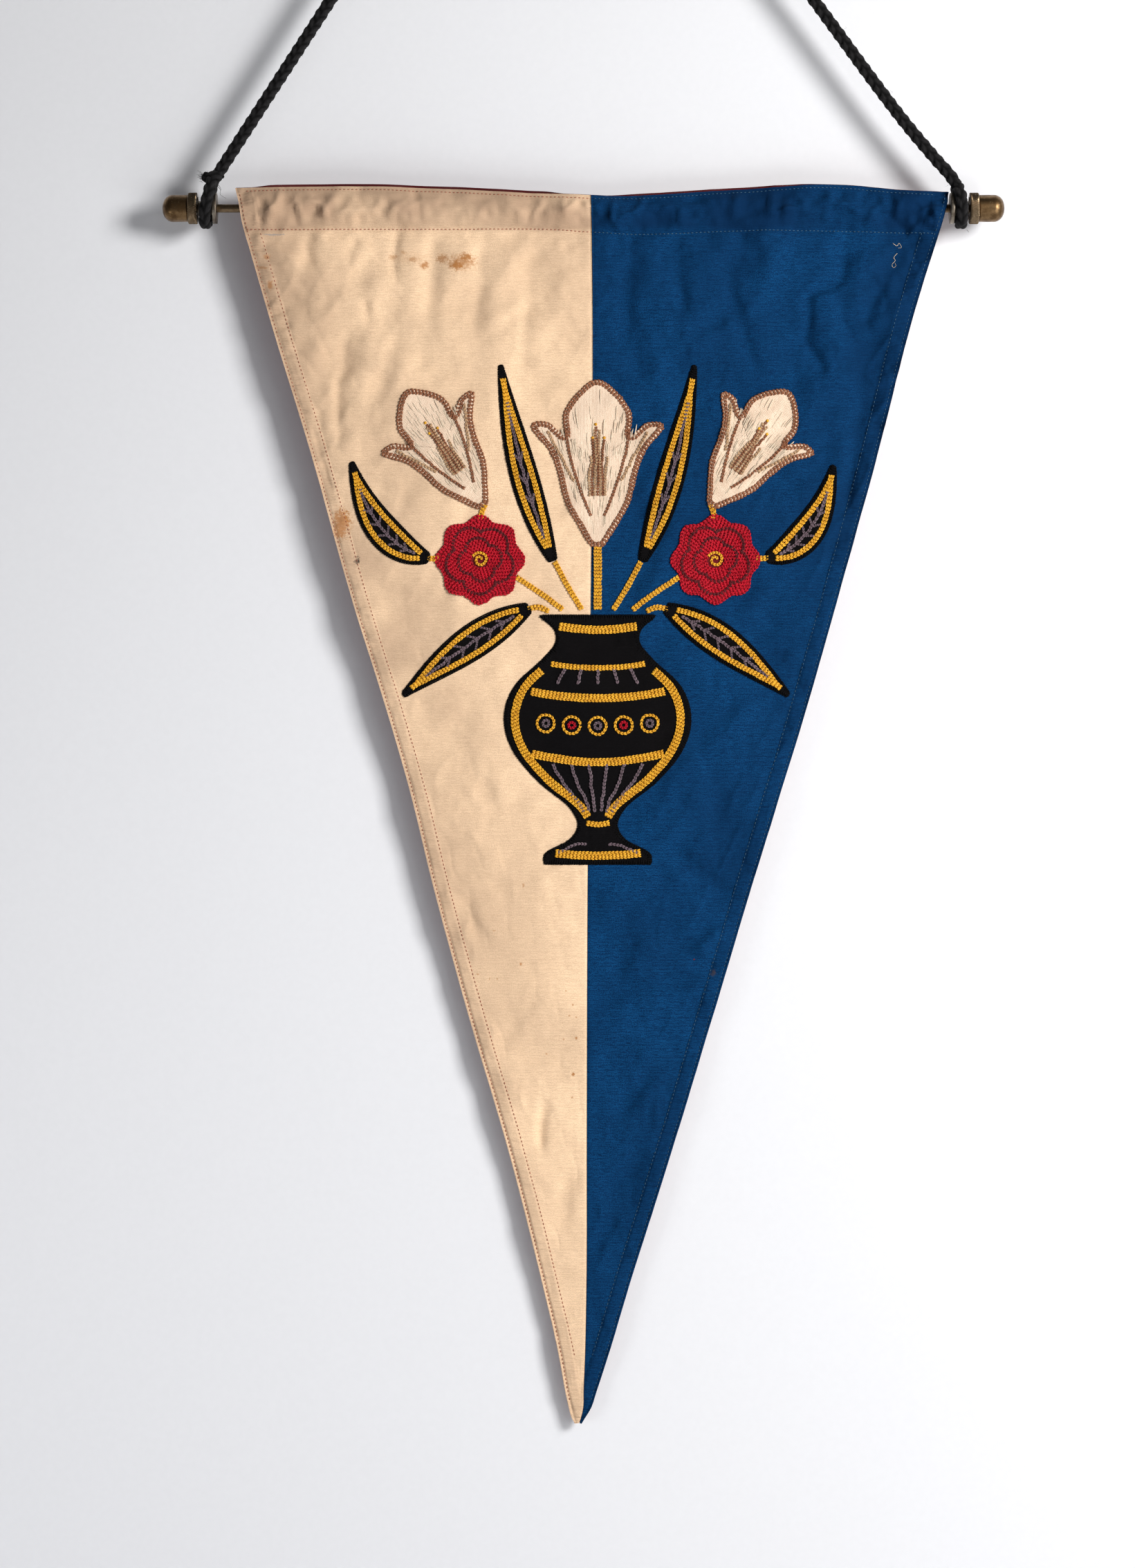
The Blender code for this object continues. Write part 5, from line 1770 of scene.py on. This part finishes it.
    def sew_lilies(self) -> None:
        """Sew each lily: brown outlines, petal lines, cream strands and gold stamens."""
        top = self.patch_lift + 0.2 * MM
        outline = lily_outline(220)
        s = np.linspace(0, 1, 50)
        for lily in LILIES:
            placed = lily_place(lily, outline)
            closed = np.vstack([placed, placed[:1]])
            side = side_steps(closed)
            for inset, lift, width in ((0.5, 0.55, 1.9), (2.0, 1.0, 1.7)):
                self.chain("lily_outlines", Thread.BROWN, closed + side * inset * MM,
                           lift * self.patch_lift, width=width * MM)
            for hand in (-1, 1):
                petal = np.column_stack([hand * (0.19 - 0.15 * s ** 1.5), 0.70 - 0.52 * s])
                self.band("lily_outlines", Thread.BROWN, lily_place(lily, petal), top, 1)
                inner = np.column_stack([hand * (0.30 - 0.16 * s), 0.69 - 0.30 * s])
                self.chain("lily_shades", Thread.TAN, lily_place(lily, inner), top,
                           wobble=0.3 * MM)
            for k in range(-3, 4):
                stamen = np.column_stack([k * 0.016 + 0.012 * np.sin(5 * s + k) * s,
                                          0.30 + (0.42 - 0.02 * k * k) * s])
                thread = Thread.TAN if k % 2 else Thread.BROWN
                self.chain("lily_shades", thread, lily_place(lily, stamen), top,
                           pitch=1.7 * MM, width=1.4 * MM, wobble=0.22 * MM)
                if k % 2 == 0:
                    knot = lily_place(lily, stamen[-1:] + np.array([[0.0, 0.012]]))
                    self.knots("lily_stamens", Thread.GOLD, knot, top + 0.2 * MM)
            self.satin(lily, outline)

    def satin(self, lily: Lily, outline: Array) -> None:
        """Lay loose cream strands along a lily, between a third and nine tenths out."""
        count = 210
        angle = self.hand.uniform(0, len(outline), count).astype(int)
        share = self.hand.uniform(0.25, 0.84, (count, 1))
        centre = np.array([[0.0, LILY_CENTRE]])
        start = centre + (outline[angle] - centre) * share
        drift = np.column_stack([self.hand.normal(0, 0.004, count) + 0.10 * start[:, 0],
                                 self.hand.uniform(0.07, 0.11, count)])
        a, b = lily_place(lily, start - drift / 2), lily_place(lily, start + drift / 2)
        self.basket.lay("lily_satin", Thread.CREAM, to_cloth(a), to_cloth(b), width=0.8 * MM,
                        height=0.3 * MM, lift=self.patch_lift + 0.03 * MM, arch=0.04 * MM)

    def knots(self, group: str, thread: Thread, middles: Array, lift: float) -> None:
        """Sew small round knots: three short strands crossed on each middle."""
        for turn in (0.2, 1.25, 2.3):
            reach = np.array([math.cos(turn), math.sin(turn)]) * 0.95 * MM
            self.basket.lay(group, thread, to_cloth(middles - reach), to_cloth(middles + reach),
                            width=1.25 * MM, height=0.8 * MM, lift=lift, arch=0.3 * MM)

    def sew_roses(self) -> None:
        """Sew each rose: rings of red chain, darker petal lines and a gold heart."""
        top = self.patch_lift + 0.22 * MM
        for rose in ROSES:
            middle = np.array(rose.middle) * MM
            radius = ROSE_RADIUS - 0.4 * MM
            while radius > 4.6 * MM:
                ring = rose_outline(rose, radius, 180)
                lift = top if radius < 21 * MM else self.patch_lift * 0.75
                self.chain("rose_rows", Thread.RED, np.vstack([ring, ring[:1]]), lift,
                           width=1.9 * MM, wobble=0.16 * MM)
                radius -= 1.62 * MM
            s = np.linspace(0, 1, 40)
            for count, reach, swell, twist in ((5, 15.5, 4.5, 0.2), (4, 9.5, 3.2, 0.9)):
                for k in range(count):
                    angle = TURN * (k + 1.12 * s) / count + twist
                    r = (reach + swell * np.sin(np.pi * s)) * MM
                    self.chain("rose_petals", Thread.DARK_RED, middle + round_path(r, angle),
                               top + 0.32 * MM, width=1.7 * MM)
            spiral = np.linspace(0, 1, 60)
            r = (1.2 + 3.4 * spiral) * MM
            self.chain("rose_hearts", Thread.GOLD, middle + round_path(r, 9 * spiral),
                       top + 0.2 * MM, pitch=1.6 * MM)

    def sew_stems(self) -> None:
        """Sew the gold stems on both sides, and the middle one."""
        lift = 0.32 * MM
        for stem in STEMS:
            for hand in (-1, 1):
                line = smooth_path(np.array(stem) * (-hand, 1) * MM)
                self.band("stems", Thread.GOLD, line, lift, 2)
        middle = np.column_stack([np.zeros(12), np.linspace(147.0, 184.0, 12)]) * MM
        self.band("stems", Thread.GOLD, middle, lift, 3)

    def build(self) -> None:
        """Make every patch and sew every stitch."""
        black = BLACK_COTTON.material(self.effects)
        satin = SATIN.material(self.effects)
        ground = ROSE_GROUND.material(self.effects)
        self.urn_cloth(black)
        self.leaf_cloths(black)
        outline = lily_outline(96)
        for lily in LILIES:
            centre = lily_place(lily, np.array([[0.0, LILY_CENTRE]]))[0]
            self.disc(lily.name, lily_place(lily, outline), centre,
                      math.pi / 2 - math.radians(lily.turn), satin)
        for rose in ROSES:
            self.disc(rose.name, rose_outline(rose, ROSE_RADIUS, 96),
                      np.array(rose.middle) * MM, 0.0, ground)
        self.sew_urn()
        self.sew_leaves()
        self.sew_lilies()
        self.sew_roses()
        self.sew_stems()


# The rod and its turned ends, with the same sizes as the solids.
GAP = 0.3 * MM
FLANGE_LEFT_X = -196.8 * MM
FLANGE_RIGHT_X = 226.8 * MM
FLANGE_RADIUS = 9.0 * MM
FLANGE_THICKNESS = 2.6 * MM
NECK_RADIUS = 4.2 * MM
NECK_END = 11.0 * MM
KNOB_START = NECK_END + GAP
COLLAR_RADIUS = 9.1 * MM
COLLAR_END = 17.0 * MM
DOME_RADIUS = 7.8 * MM
DOME_DEPTH = 0.8 * DOME_RADIUS
KNOB_END = 31.6 * MM
BORE_DEPTH = 8.0 * MM


@dataclass
class RodFittings:
    """The rod, the spools that hold the cord's loops, and the knurled knobs."""

    effects: SharedEffects
    knurls: int = 84
    knurl_depth: float = 0.20 * MM
    knurl_lean: float = 0.42
    fine_sides: int = 72
    rod_rounding: float = 0.3 * MM
    sharp_angle: float = 32.0
    knurl_sharp_angle: float = 50.0

    def turned(self, name: str, profile: Array, x: float, side: int, finish: MetalFinish) -> Piece:
        """Turn a closed profile of distance outwards and radius about the rod's axis."""
        angle = TURN * np.arange(self.fine_sides) / self.fine_sides
        out, radius = profile[:, 0], profile[:, 1]
        points = np.stack([
            np.broadcast_to(x + side * out, (self.fine_sides, len(out))),
            radius * np.cos(angle)[:, None],
            ROD_Z + radius * np.sin(angle)[:, None]], axis=-1).reshape(-1, 3)
        quads = grid_quads(self.fine_sides, len(profile), wrap_rows=True, wrap_columns=True)
        return make_piece(name, points, [quads], finish.material(self.effects),
                          sharp_angle=self.sharp_angle)

    @staticmethod
    def rounded(corners: Sequence[tuple[float, float, float]]) -> Array:
        """Give a closed profile whose corners are rounded by the radius in each row.

        A corner's arc is a curve of the second degree from one side of it to the other.
        """
        points = []
        count = len(corners)
        for k, (out, radius, bend) in enumerate(corners):
            here = np.array([out, radius])
            before = np.array(corners[k - 1][:2]) - here
            after = np.array(corners[(k + 1) % count][:2]) - here
            if not bend:
                points.append(here)
                continue
            a = here + before / np.linalg.norm(before) * bend
            b = here + after / np.linalg.norm(after) * bend
            for t in (0.0, 0.25, 0.5, 0.75, 1.0):
                points.append((1 - t) ** 2 * a + 2 * t * (1 - t) * here + t * t * b)
        return np.array(points)

    def rod(self) -> None:
        """Make the rod, closed by a small cone at each hidden end."""
        reach = KNOB_START + BORE_DEPTH - GAP
        left, right = FLANGE_LEFT_X - reach, FLANGE_RIGHT_X + reach
        tiny = 0.02 * MM
        length = right - left
        profile = self.rounded(((0.0, tiny, 0.0), (0.0, ROD_RADIUS, self.rod_rounding),
                                (length, ROD_RADIUS, self.rod_rounding), (length, tiny, 0.0)))
        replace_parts(self.turned("brass_rod", profile, left, 1, ROD_BRASS), "rod")

    def spool(self, word: str, x: float, side: int) -> None:
        """Make a spool: a rounded flange and the neck beside it."""
        bore = ROD_RADIUS + GAP / 2
        profile = self.rounded((
            (0.0, bore, 0.0), (0.0, FLANGE_RADIUS, 0.7 * MM),
            (FLANGE_THICKNESS, FLANGE_RADIUS, 0.7 * MM), (FLANGE_THICKNESS, NECK_RADIUS, 0.5 * MM),
            (NECK_END, NECK_RADIUS, 0.2 * MM), (NECK_END, bore, 0.0)))
        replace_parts(self.turned(f"spool_{word}_metal", profile, x, side, FLANGE_METAL),
                    f"spool_{word}")

    def dome(self, word: str, x: float, side: int) -> None:
        """Make a knob's dome: a straight flank, a rounded end and the bore within."""
        bore = ROD_RADIUS + GAP / 2
        flank_end = KNOB_END - DOME_DEPTH
        turn = np.radians(np.linspace(0, 88.5, 26))
        end = np.column_stack([flank_end + DOME_DEPTH * np.sin(turn),
                               DOME_RADIUS * np.cos(turn) ** 0.86])
        start = COLLAR_END - 1.2 * MM
        mouth = KNOB_START + 0.5 * MM
        head = np.array([(mouth, bore), (mouth, DOME_RADIUS - 1.4 * MM),
                         (start, DOME_RADIUS - 1.2 * MM),
                         (COLLAR_END - 0.2 * MM, DOME_RADIUS - 0.4 * MM),
                         (COLLAR_END + 0.3 * MM, DOME_RADIUS - 0.05 * MM)])
        inner = np.array([(KNOB_END - 0.01 * MM, 0.05 * MM),
                          (KNOB_START + BORE_DEPTH, 0.05 * MM), (KNOB_START + BORE_DEPTH, bore)])
        piece = self.turned(f"knob_{word}_dome", np.vstack([head, end, inner]), x, side,
                            DOME_BRASS)
        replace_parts(piece, f"knob_{word}")

    def collar(self, word: str, x: float, side: int) -> None:
        """Make a knob's knurled collar: slanting ridges raised on a rounded ring.

        The ridges are a sine of the angle and of the distance outwards, faded at both rims.
        """
        sides = self.knurls * 6
        angle = TURN * np.arange(sides)[:, None] / sides
        out = np.array([0.0, 0.0, 0.12, 0.4, 0.8, 1.6, 2.4, 3.2, 4.0, 4.7, 5.15, 5.5, 5.7]) * MM
        base = np.array([-2.2, -0.9, -0.36, -0.08, 0, 0, 0, 0, 0, -0.06, -0.3, -0.9, -1.7]) * MM
        fade = np.array([0, 0, 0.3, 0.8, 1, 1, 1, 1, 1, 0.8, 0.3, 0, 0])
        wave = np.sin(angle * self.knurls + side * out[None] / MM * TURN * self.knurl_lean)
        radius = COLLAR_RADIUS + base + self.knurl_depth * (wave - 1) * fade
        inside = np.full((sides, 1), COLLAR_RADIUS - 2.4 * MM)
        radius = np.hstack([radius, inside, inside])
        out = np.concatenate([out, [5.7 * MM, 0.0]])
        points = np.stack([np.broadcast_to(x + side * (KNOB_START + out), radius.shape),
                           radius * np.cos(angle), ROD_Z + radius * np.sin(angle)], axis=-1)
        quads = grid_quads(sides, len(out), wrap_rows=True, wrap_columns=True)
        make_piece(f"knob_{word}_collar", points.reshape(-1, 3), [quads],
                   COLLAR_BRASS.material(self.effects),
                   sharp_angle=self.knurl_sharp_angle)

    def build(self) -> None:
        """Make the rod and both ends."""
        self.rod()
        for word, x, side in (("left", FLANGE_LEFT_X, -1), ("right", FLANGE_RIGHT_X, 1)):
            self.spool(word, x, side)
            self.dome(word, x, side)
            self.collar(word, x, side)


# The cord's route from the left knot over the hook to the right loop, in millimetres.
CORD_ROUTE = np.array((
    (-199.2, -2.4, -289.4), (-195, -1, -282.8), (-187.4, -0.8, -271), (-170, -0.5, -244),
    (-150.6, -0.2, -214), (-131.2, 0, -184), (-110.6, 0, -152), (-89.9, 0, -120),
    (-69.2, 0, -88), (-48.6, 0, -56), (-33.1, 0, -32), (-17.2, 0, -7), (-9.5, 0, 1.2),
    (0, 0, 3.8), (9.5, 0, 1.2), (17.2, 0, -5.6), (30.5, 0, -23), (43.2, 0, -40), (66.5, 0, -72),
    (89.9, 0, -104), (113.3, 0, -136), (136.6, 0, -168), (160, -0.2, -200), (180.4, -0.6, -228),
    (200, -1.1, -254), (217.4, -1.8, -275), (225, -2.4, -283.6), (228.6, -3.4, -288.6),
    (231.4, -5.6, -294.2)))
CORD_RADIUS = 3.8 * MM
SCALLOP = 6.2 * MM

# Round each neck: up behind, over the flange's side, and down in front, in millimetres.
LEFT_LOOP = (
    (-203.4, 0, -313), (-203.3, 5.4, -311.4), (-203.2, 8.8, -306), (-202.4, 9, -299),
    (-200.4, 5.8, -291.6), (-198.9, 0, -287.4), (-199.6, -5.4, -290.6), (-201.4, -8.9, -298.6),
    (-203, -8.9, -306), (-203.6, -5.4, -311.4))
RIGHT_LOOP = (
    (233.4, 0, -313), (233.3, 5.4, -311.4), (233.2, 8.8, -306), (232.6, 8.4, -299.4),
    (231.4, 4.8, -294.6), (230.6, 0.2, -292), (231.2, -4.6, -293.4), (232.6, -8.4, -299),
    (233.4, -8.9, -306), (233.5, -5.4, -311.4))
# Hairs that stand off the knot and the loops, in millimetres.
LOOSE_HAIRS = (
    ((-197.2, -4, -291.6), (-194.6, -4.4, -294.4), (-194.6, -4.2, -297.2), (-191.2, -4, -299.4)),
    ((-197.4, -3.6, -291), (-195.4, -4, -292), (-194, -4.4, -294.6)),
    ((-198.6, -4.6, -313.6), (-196.6, -5, -313.2), (-195.8, -5.2, -314.6)),
    ((-201, -3.4, -286), (-202, -3.6, -283.4)), ((236.4, -3, -317.4), (237.6, -3.2, -318.8)))
KNOT_ROUTE = np.array((
    (-194.4, 1.6, -285.2), (-197.2, -3.8, -286.4), (-200.6, -3.6, -287.2),
    (-203.4, -1.2, -286.8), (-205.6, -0.4, -286.2)))


@dataclass
class HangingCord:
    """The black braided cord: its legs, its loops over the necks, and the knot."""

    finish: CordFinish = field(default_factory=CordFinish)
    sides: int = 28
    ring_step: float = 0.76 * MM
    core: float = 0.66
    crown: float = 1.06
    slant: float = 0.62
    columns: int = 4
    fray_fibres: int = 60
    hair_pitch: float = 5.2 * MM

    def braid_radius(self, angle: Array, along: Array, radius: float, pitch: float) -> Array:
        """Give the braid's radius from the angle round it and the length along it.

        Four columns of lobes stand half a pitch out of step. A lobe is a rounded bump
        whose crest slants, one way in the odd columns and the other way in the even ones.
        """
        turn = angle / TURN * self.columns
        column = np.floor(turn)
        across = turn - column - 0.5
        hand = np.where(column % 2 == 0, 1.0, -1.0)
        place = along / pitch + 0.5 * (column % 2) + hand * self.slant * across
        crest = np.abs(np.cos(np.pi * place)) ** 0.75
        swell = np.cos(np.pi * across * 0.86) ** 0.6
        return radius * (self.core + (self.crown - self.core) * crest * swell)

    def tube(self, name: str, path: Array, reference: Array, radius: float, pitch: float,
             closed: bool = False) -> Piece:
        """Sweep the braid along a path.

        Args:
            name: The piece's name.
            path: Evenly spaced points; a closed path doesn't repeat its first.
            reference: A direction that the path never runs along.
            radius: The cord's radius.
            pitch: The length of a lobe.
            closed: Whether the path closes on itself.

        Returns:
            The tube, whose UV map counts round it and along it in pitches.
        """
        count = len(path)
        if closed:
            tangent = np.roll(path, -1, axis=0) - np.roll(path, 1, axis=0)
        else:
            tangent = np.gradient(path, axis=0)
        tangent /= np.linalg.norm(tangent, axis=1)[:, None]
        normal = np.cross(tangent, reference)
        normal /= np.linalg.norm(normal, axis=1)[:, None]
        binormal = np.cross(normal, tangent)
        step = np.linalg.norm(path[1] - path[0])
        along = (np.arange(count) * step)[:, None]
        angle = TURN * np.arange(self.sides)[None] / self.sides
        reach = self.braid_radius(angle, along, radius, pitch)
        if not closed:
            ends = np.minimum(np.arange(count), np.arange(count)[::-1])[:, None] * step
            reach = reach * np.sqrt(np.clip(1 - (1 - np.clip(ends / radius, 0, 1)) ** 2, 0.02, 1))
        points = (path[:, None] + reach[..., None] * np.cos(angle)[..., None] * normal[:, None]
                  + reach[..., None] * np.sin(angle)[..., None] * binormal[:, None])
        sets = [grid_quads(count, self.sides, wrap_rows=closed, wrap_columns=True)]
        points = points.reshape(-1, 3)
        uv = np.stack(np.broadcast_arrays(angle / TURN, along / pitch), axis=-1).reshape(-1, 2)
        if not closed:
            k = np.arange(self.sides)
            after = (k + 1) % self.sides
            first, last = len(points), len(points) + 1
            low = (count - 1) * self.sides
            sets.append(np.vstack([np.stack([np.full_like(k, first), after, k], axis=1),
                                   np.stack([np.full_like(k, last), low + k, low + after], 1)]))
            points = np.vstack([points, path[:1], path[-1:]])
            uv = np.vstack([uv, uv[:1], uv[-1:]])
        piece = make_piece(name, points, sets, self.material, uv)
        # The crest mask lets the cord's material paint shade into the braid's grooves.
        crest = np.clip((reach / radius - self.core) / (self.crown - self.core), 0, 1).ravel()
        crest = np.concatenate([crest, np.zeros(len(points) - len(crest))])
        add_mask(piece, "crest", crest)
        return piece

    def legs(self) -> tuple[Piece, Array]:
        """Make the cord from the left knot over the hook to the right loop."""
        path = even_line(smooth_path(CORD_ROUTE * MM), self.ring_step)
        piece = self.tube("braided_cord", path, np.array([0.0, 1.0, 0.0]), CORD_RADIUS, SCALLOP)
        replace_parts(piece, "cord")
        return piece, path

    def loop(self, word: str, route: tuple) -> Piece:
        """Make a loop that hangs round a neck, from its closed route in millimetres."""
        closed = np.vstack([route, route[:3]]) * MM
        fine = smooth_path(closed)[PATH_STEPS:-PATH_STEPS - 1]
        length = line_lengths(np.vstack([fine, fine[:1]]))[-1]
        lobes = round(length / SCALLOP)
        path = even_line(np.vstack([fine, fine[:1]]), self.ring_step)[:-1]
        piece = self.tube(f"cord_loop_{word}_braid", path, np.array([1.0, 0.0, 0.0]),
                          CORD_RADIUS * 0.985, length / lobes, closed=True)
        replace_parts(piece, f"cord_loop_{word}")
        return piece

    def knot(self) -> Piece:
        """Make the knot: a turn over the cord's end whose cut end points out."""
        path = even_line(smooth_path(KNOT_ROUTE * MM), 0.5 * MM)
        piece = self.tube("cord_knot_left_braid", path, np.array([0.0, 0.2, 1.0]),
                          CORD_RADIUS * 0.88, SCALLOP * 0.9)
        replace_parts(piece, "cord_knot_left")
        return piece

    def frays(self, basket: "HairBasket") -> None:
        """Add the fibres of the cut end, and the loose hairs by the knot and loops."""
        rng = np.random.default_rng(6)
        for _ in range(self.fray_fibres):
            start = KNOT_ROUTE[-1] * MM + rng.normal(0, 1.3, 3) * (0.5, 1.0, 1.0) * MM
            reach = np.array([-1.0, 0.0, 0.1]) * rng.uniform(0.4, 1.5) + rng.normal(0, 0.5, 3)
            basket.hair(np.array([start, start + reach * 0.6 * MM, start + reach * MM]), 0.16 * MM)
        for line in LOOSE_HAIRS:
            basket.hair(smooth_path(np.array(line) * MM, 6), 0.26 * MM)
        for place in even_line(smooth_path(CORD_ROUTE * MM), self.hair_pitch):
            angle = rng.uniform(0, TURN)
            out = np.array([math.cos(angle), math.sin(angle), rng.normal(0, 0.5)])
            start = place + out * CORD_RADIUS * 0.9
            bend = start + out * 0.7 * MM + rng.normal(0, 0.3, 3) * MM
            basket.hair(np.array([start, bend, bend + rng.normal(0, 0.6, 3) * MM]), 0.11 * MM)

    def build(self) -> None:
        self.material = self.finish.material()
        cord, path = self.legs()
        loops = [self.loop("left", LEFT_LOOP), self.loop("right", RIGHT_LOOP)]
        knot = self.knot()
        hairs = HairBasket()
        self.frays(hairs)
        hairs.make("cord_fibres", self.material, self.finish.slot)


class HairBasket:
    """Collects fine loose threads, and makes one piece of them."""

    SIDES = 4

    def __init__(self) -> None:
        """Start with none."""
        self.points: list[Array] = []
        self.faces: list[Faces] = []
        self.count = 0

    def hair(self, line: Array, width: float) -> None:
        """Add one thread along a line, as a square tube that narrows to its end."""
        n = len(line)
        tangent = np.gradient(line, axis=0) if n > 2 else np.repeat(line[1:] - line[:1], n, 0)
        tangent /= np.maximum(np.linalg.norm(tangent, axis=1), 1e-12)[:, None]
        side = np.cross(tangent, [0.31, 0.17, 0.93])
        side /= np.maximum(np.linalg.norm(side, axis=1), 1e-9)[:, None]
        other = np.cross(side, tangent)
        angle = TURN * np.arange(self.SIDES) / self.SIDES
        radius = (width / 2 * np.linspace(1.0, 0.5, n))[:, None, None]
        ring = (line[:, None] + radius * (np.cos(angle)[None, :, None] * side[:, None]
                                          + np.sin(angle)[None, :, None] * other[:, None]))
        quads = grid_quads(n, self.SIDES, wrap_columns=True)
        low = (n - 1) * self.SIDES
        caps = np.array([[3, 2, 1, 0], [low, low + 1, low + 2, low + 3]])
        self.points.append(ring.reshape(-1, 3))
        self.faces.append(np.vstack([quads, caps]) + self.count)
        self.count += n * self.SIDES

    def make(self, name: str, material: Material, slot: str) -> Piece:
        """Make the piece."""
        points = np.vstack(self.points)
        uv = np.column_stack([points[:, 0], points[:, 2]]) / (2 * MM)
        return make_piece(name, points, [np.vstack(self.faces)], material, uv)


@dataclass
class LooseThreads:
    """The pale threads that cling to the blue half by its right hem."""

    shape: ClothShape
    effects: SharedEffects
    lines: tuple = (
        ((194.0, 20.0), (196.4, 21.6), (197.6, 20.0), (199.0, 22.4), (197.0, 22.8)),
        ((196.6, 25.8), (194.6, 28.2), (195.4, 30.0), (193.6, 32.2), (194.2, 34.0),
         (195.8, 33.2), (195.2, 31.4)))

    def build(self) -> None:
        """Lay each thread on the cloth."""
        basket = HairBasket()
        for line in self.lines:
            flat = smooth_path(np.array(line) * MM, 6)
            basket.hair(self.shape.place(flat[:, 0], flat[:, 1], 0.2 * MM), 0.3 * MM)
        finish = THREADS[Thread.CREAM]
        basket.make("loose_threads", finish.material(self.effects), finish.slot)


@dataclass
class Studio:
    """The camera, the pale wall and floor, and the lights."""

    photo_height: int = 2268
    metres_per_pixel: float = 0.4 * MM
    middle_x: float = 5.8 * MM
    middle_z: float = -637.6 * MM
    lens: float = 90.0
    sensor: float = 36.0
    wall_top_y: float = 21 * MM
    wall_low_y: float = 5.5 * MM
    floor_z: float = -1.16
    wall_half_width: float = 3.2
    wall_height: float = 2.2
    warm: tuple = (1.0, 0.985, 0.965)
    cool: tuple = (0.97, 0.98, 1.0)

    def camera(self) -> None:
        """Look straight at the banner, as far off as makes the photo's frame."""
        data = bpy.data.cameras.new("camera")
        data.sensor_fit = "VERTICAL"
        data.sensor_height = self.sensor
        data.lens = self.lens
        data.clip_end = 50.0
        height = self.photo_height * self.metres_per_pixel
        camera = bpy.data.objects.new("camera", data)
        camera.location = (self.middle_x, -height * self.lens / self.sensor, self.middle_z)
        camera.rotation_euler = (math.pi / 2, 0.0, 0.0)
        bpy.context.scene.collection.objects.link(camera)
        bpy.context.scene.camera = camera

    def plane(self, name: str, corners: Array, material: Material) -> None:
        """Make one flat stage piece."""
        mesh = bpy.data.meshes.new(name)
        mesh.from_pydata(corners.tolist(), [], [(0, 1, 2, 3)])
        mesh.materials.append(material)
        item = bpy.data.objects.new(name, mesh)
        bpy.context.scene.collection.objects.link(item)

    def wall(self) -> None:
        """Make the wall, which leans to the banner's tip and is clear from behind and to lamps."""
        made, wire, shader = new_material("pale_wall", roughness=0.95, shine=0.1)
        grain = wire.noise(wire.add("ShaderNodeTexCoord").outputs["Object"], 260.0, 3.0)
        tone = wire.spread(grain, 0.3, 0.7)
        wire.feed(wire.mix(tone, rgb(0.785, 0.795, 0.825), rgb(0.795, 0.805, 0.835)),
                            shader.inputs["Base Color"])
        clear = wire.add("ShaderNodeBsdfTransparent")
        behind = wire.math("MAXIMUM", wire.add("ShaderNodeNewGeometry").outputs["Backfacing"],
                           wire.add("ShaderNodeLightPath").outputs["Is Shadow Ray"])
        blend = wire.add("ShaderNodeMixShader", {0: behind, 1: shader.outputs[0],
                                                 2: clear.outputs[0]})
        output = made.node_tree.nodes["Material Output"]
        wire.feed(blend.outputs[0], output.inputs["Surface"])
        slope = (self.wall_top_y - self.wall_low_y) / 0.7
        top_z, low_z, x = self.wall_height, self.floor_z, self.wall_half_width
        top_y = self.wall_top_y + slope * (top_z + 0.3)
        low_y = self.wall_low_y + slope * (low_z + 1.0)
        corners = np.array([(-x, low_y, low_z), (x, low_y, low_z), (x, top_y, top_z),
                            (-x, top_y, top_z)])
        self.plane("backdrop", corners, made)

    def floor(self) -> None:
        """Make the pale floor."""
        made, _, shader = new_material("pale_floor", 0.9)
        shader.inputs["Base Color"].default_value = rgb(0.56, 0.56, 0.57)
        z = self.floor_z
        corners = np.array([(-4, -5, z), (4, -5, z), (4, 4, z), (-4, 4, z)], dtype=float)
        self.plane("floor", corners, made)

    def light(self, name: str, place: tuple[float, float, float], size: tuple[float, float],
              power: float, colour: tuple[float, float, float],
              aim: tuple[float, float, float] = (0.0, 0.0, -0.62)) -> None:
        """Hang a soft rectangular light and turn it to its aim."""
        data = bpy.data.lights.new(name, "AREA")
        data.shape = "RECTANGLE"
        data.size, data.size_y = size
        data.energy = power
        data.color = colour
        lamp = bpy.data.objects.new(name, data)
        lamp.location = place
        direction = lamp.location - type(lamp.location)(aim)
        lamp.rotation_euler = direction.to_track_quat("Z", "Y").to_euler()
        lamp.visible_camera = False
        bpy.context.scene.collection.objects.link(lamp)

    def lights(self) -> None:
        """Light from the right, softly from the front and low, and from behind."""
        self.light("key", (1.22, -1.28, -0.05), (0.6, 0.6), 37.0, self.warm)
        self.light("low_fill", (0.9, -1.10, -0.92), (0.8, 0.3), 3.4, self.warm)
        self.light("left_fill", (-0.75, -0.72, -1.0), (0.4, 0.25), 1.35, self.cool,
                   aim=(-0.25, 0.0, -1.05))
        self.light("behind", (-0.6, 2.4, 0.3), (2.4, 2.0), 40.0, self.cool)
        world = bpy.data.worlds.new("pale_room")
        world.use_nodes = True
        background = world.node_tree.nodes["Background"]
        background.inputs["Color"].default_value = rgb(0.86, 0.88, 0.92)
        background.inputs["Strength"].default_value = 0.075
        bpy.context.scene.world = world

    def build(self) -> None:
        """Set everything up, with plain colours."""
        self.camera()
        self.wall()
        self.floor()
        self.lights()
        bpy.context.scene.view_settings.view_transform = "Standard"


def main() -> None:
    """Build the scene: stage, cord, cloth, design, stitches and fittings."""
    logging.basicConfig(level=logging.INFO, format="%(message)s")
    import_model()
    Studio().build()
    HangingCord().build()
    effects = SharedEffects()
    shape = ClothShape()
    banner = Banner(shape, effects)
    cloth = banner.build()
    basket = StrandBasket(shape, effects)
    Sewing(shape, basket).build()
    SewnDesign(shape, effects, basket).build()
    stitches = basket.make()
    RodFittings(effects).build()
    LooseThreads(shape, effects).build()


if __name__ == "__main__":
    main()
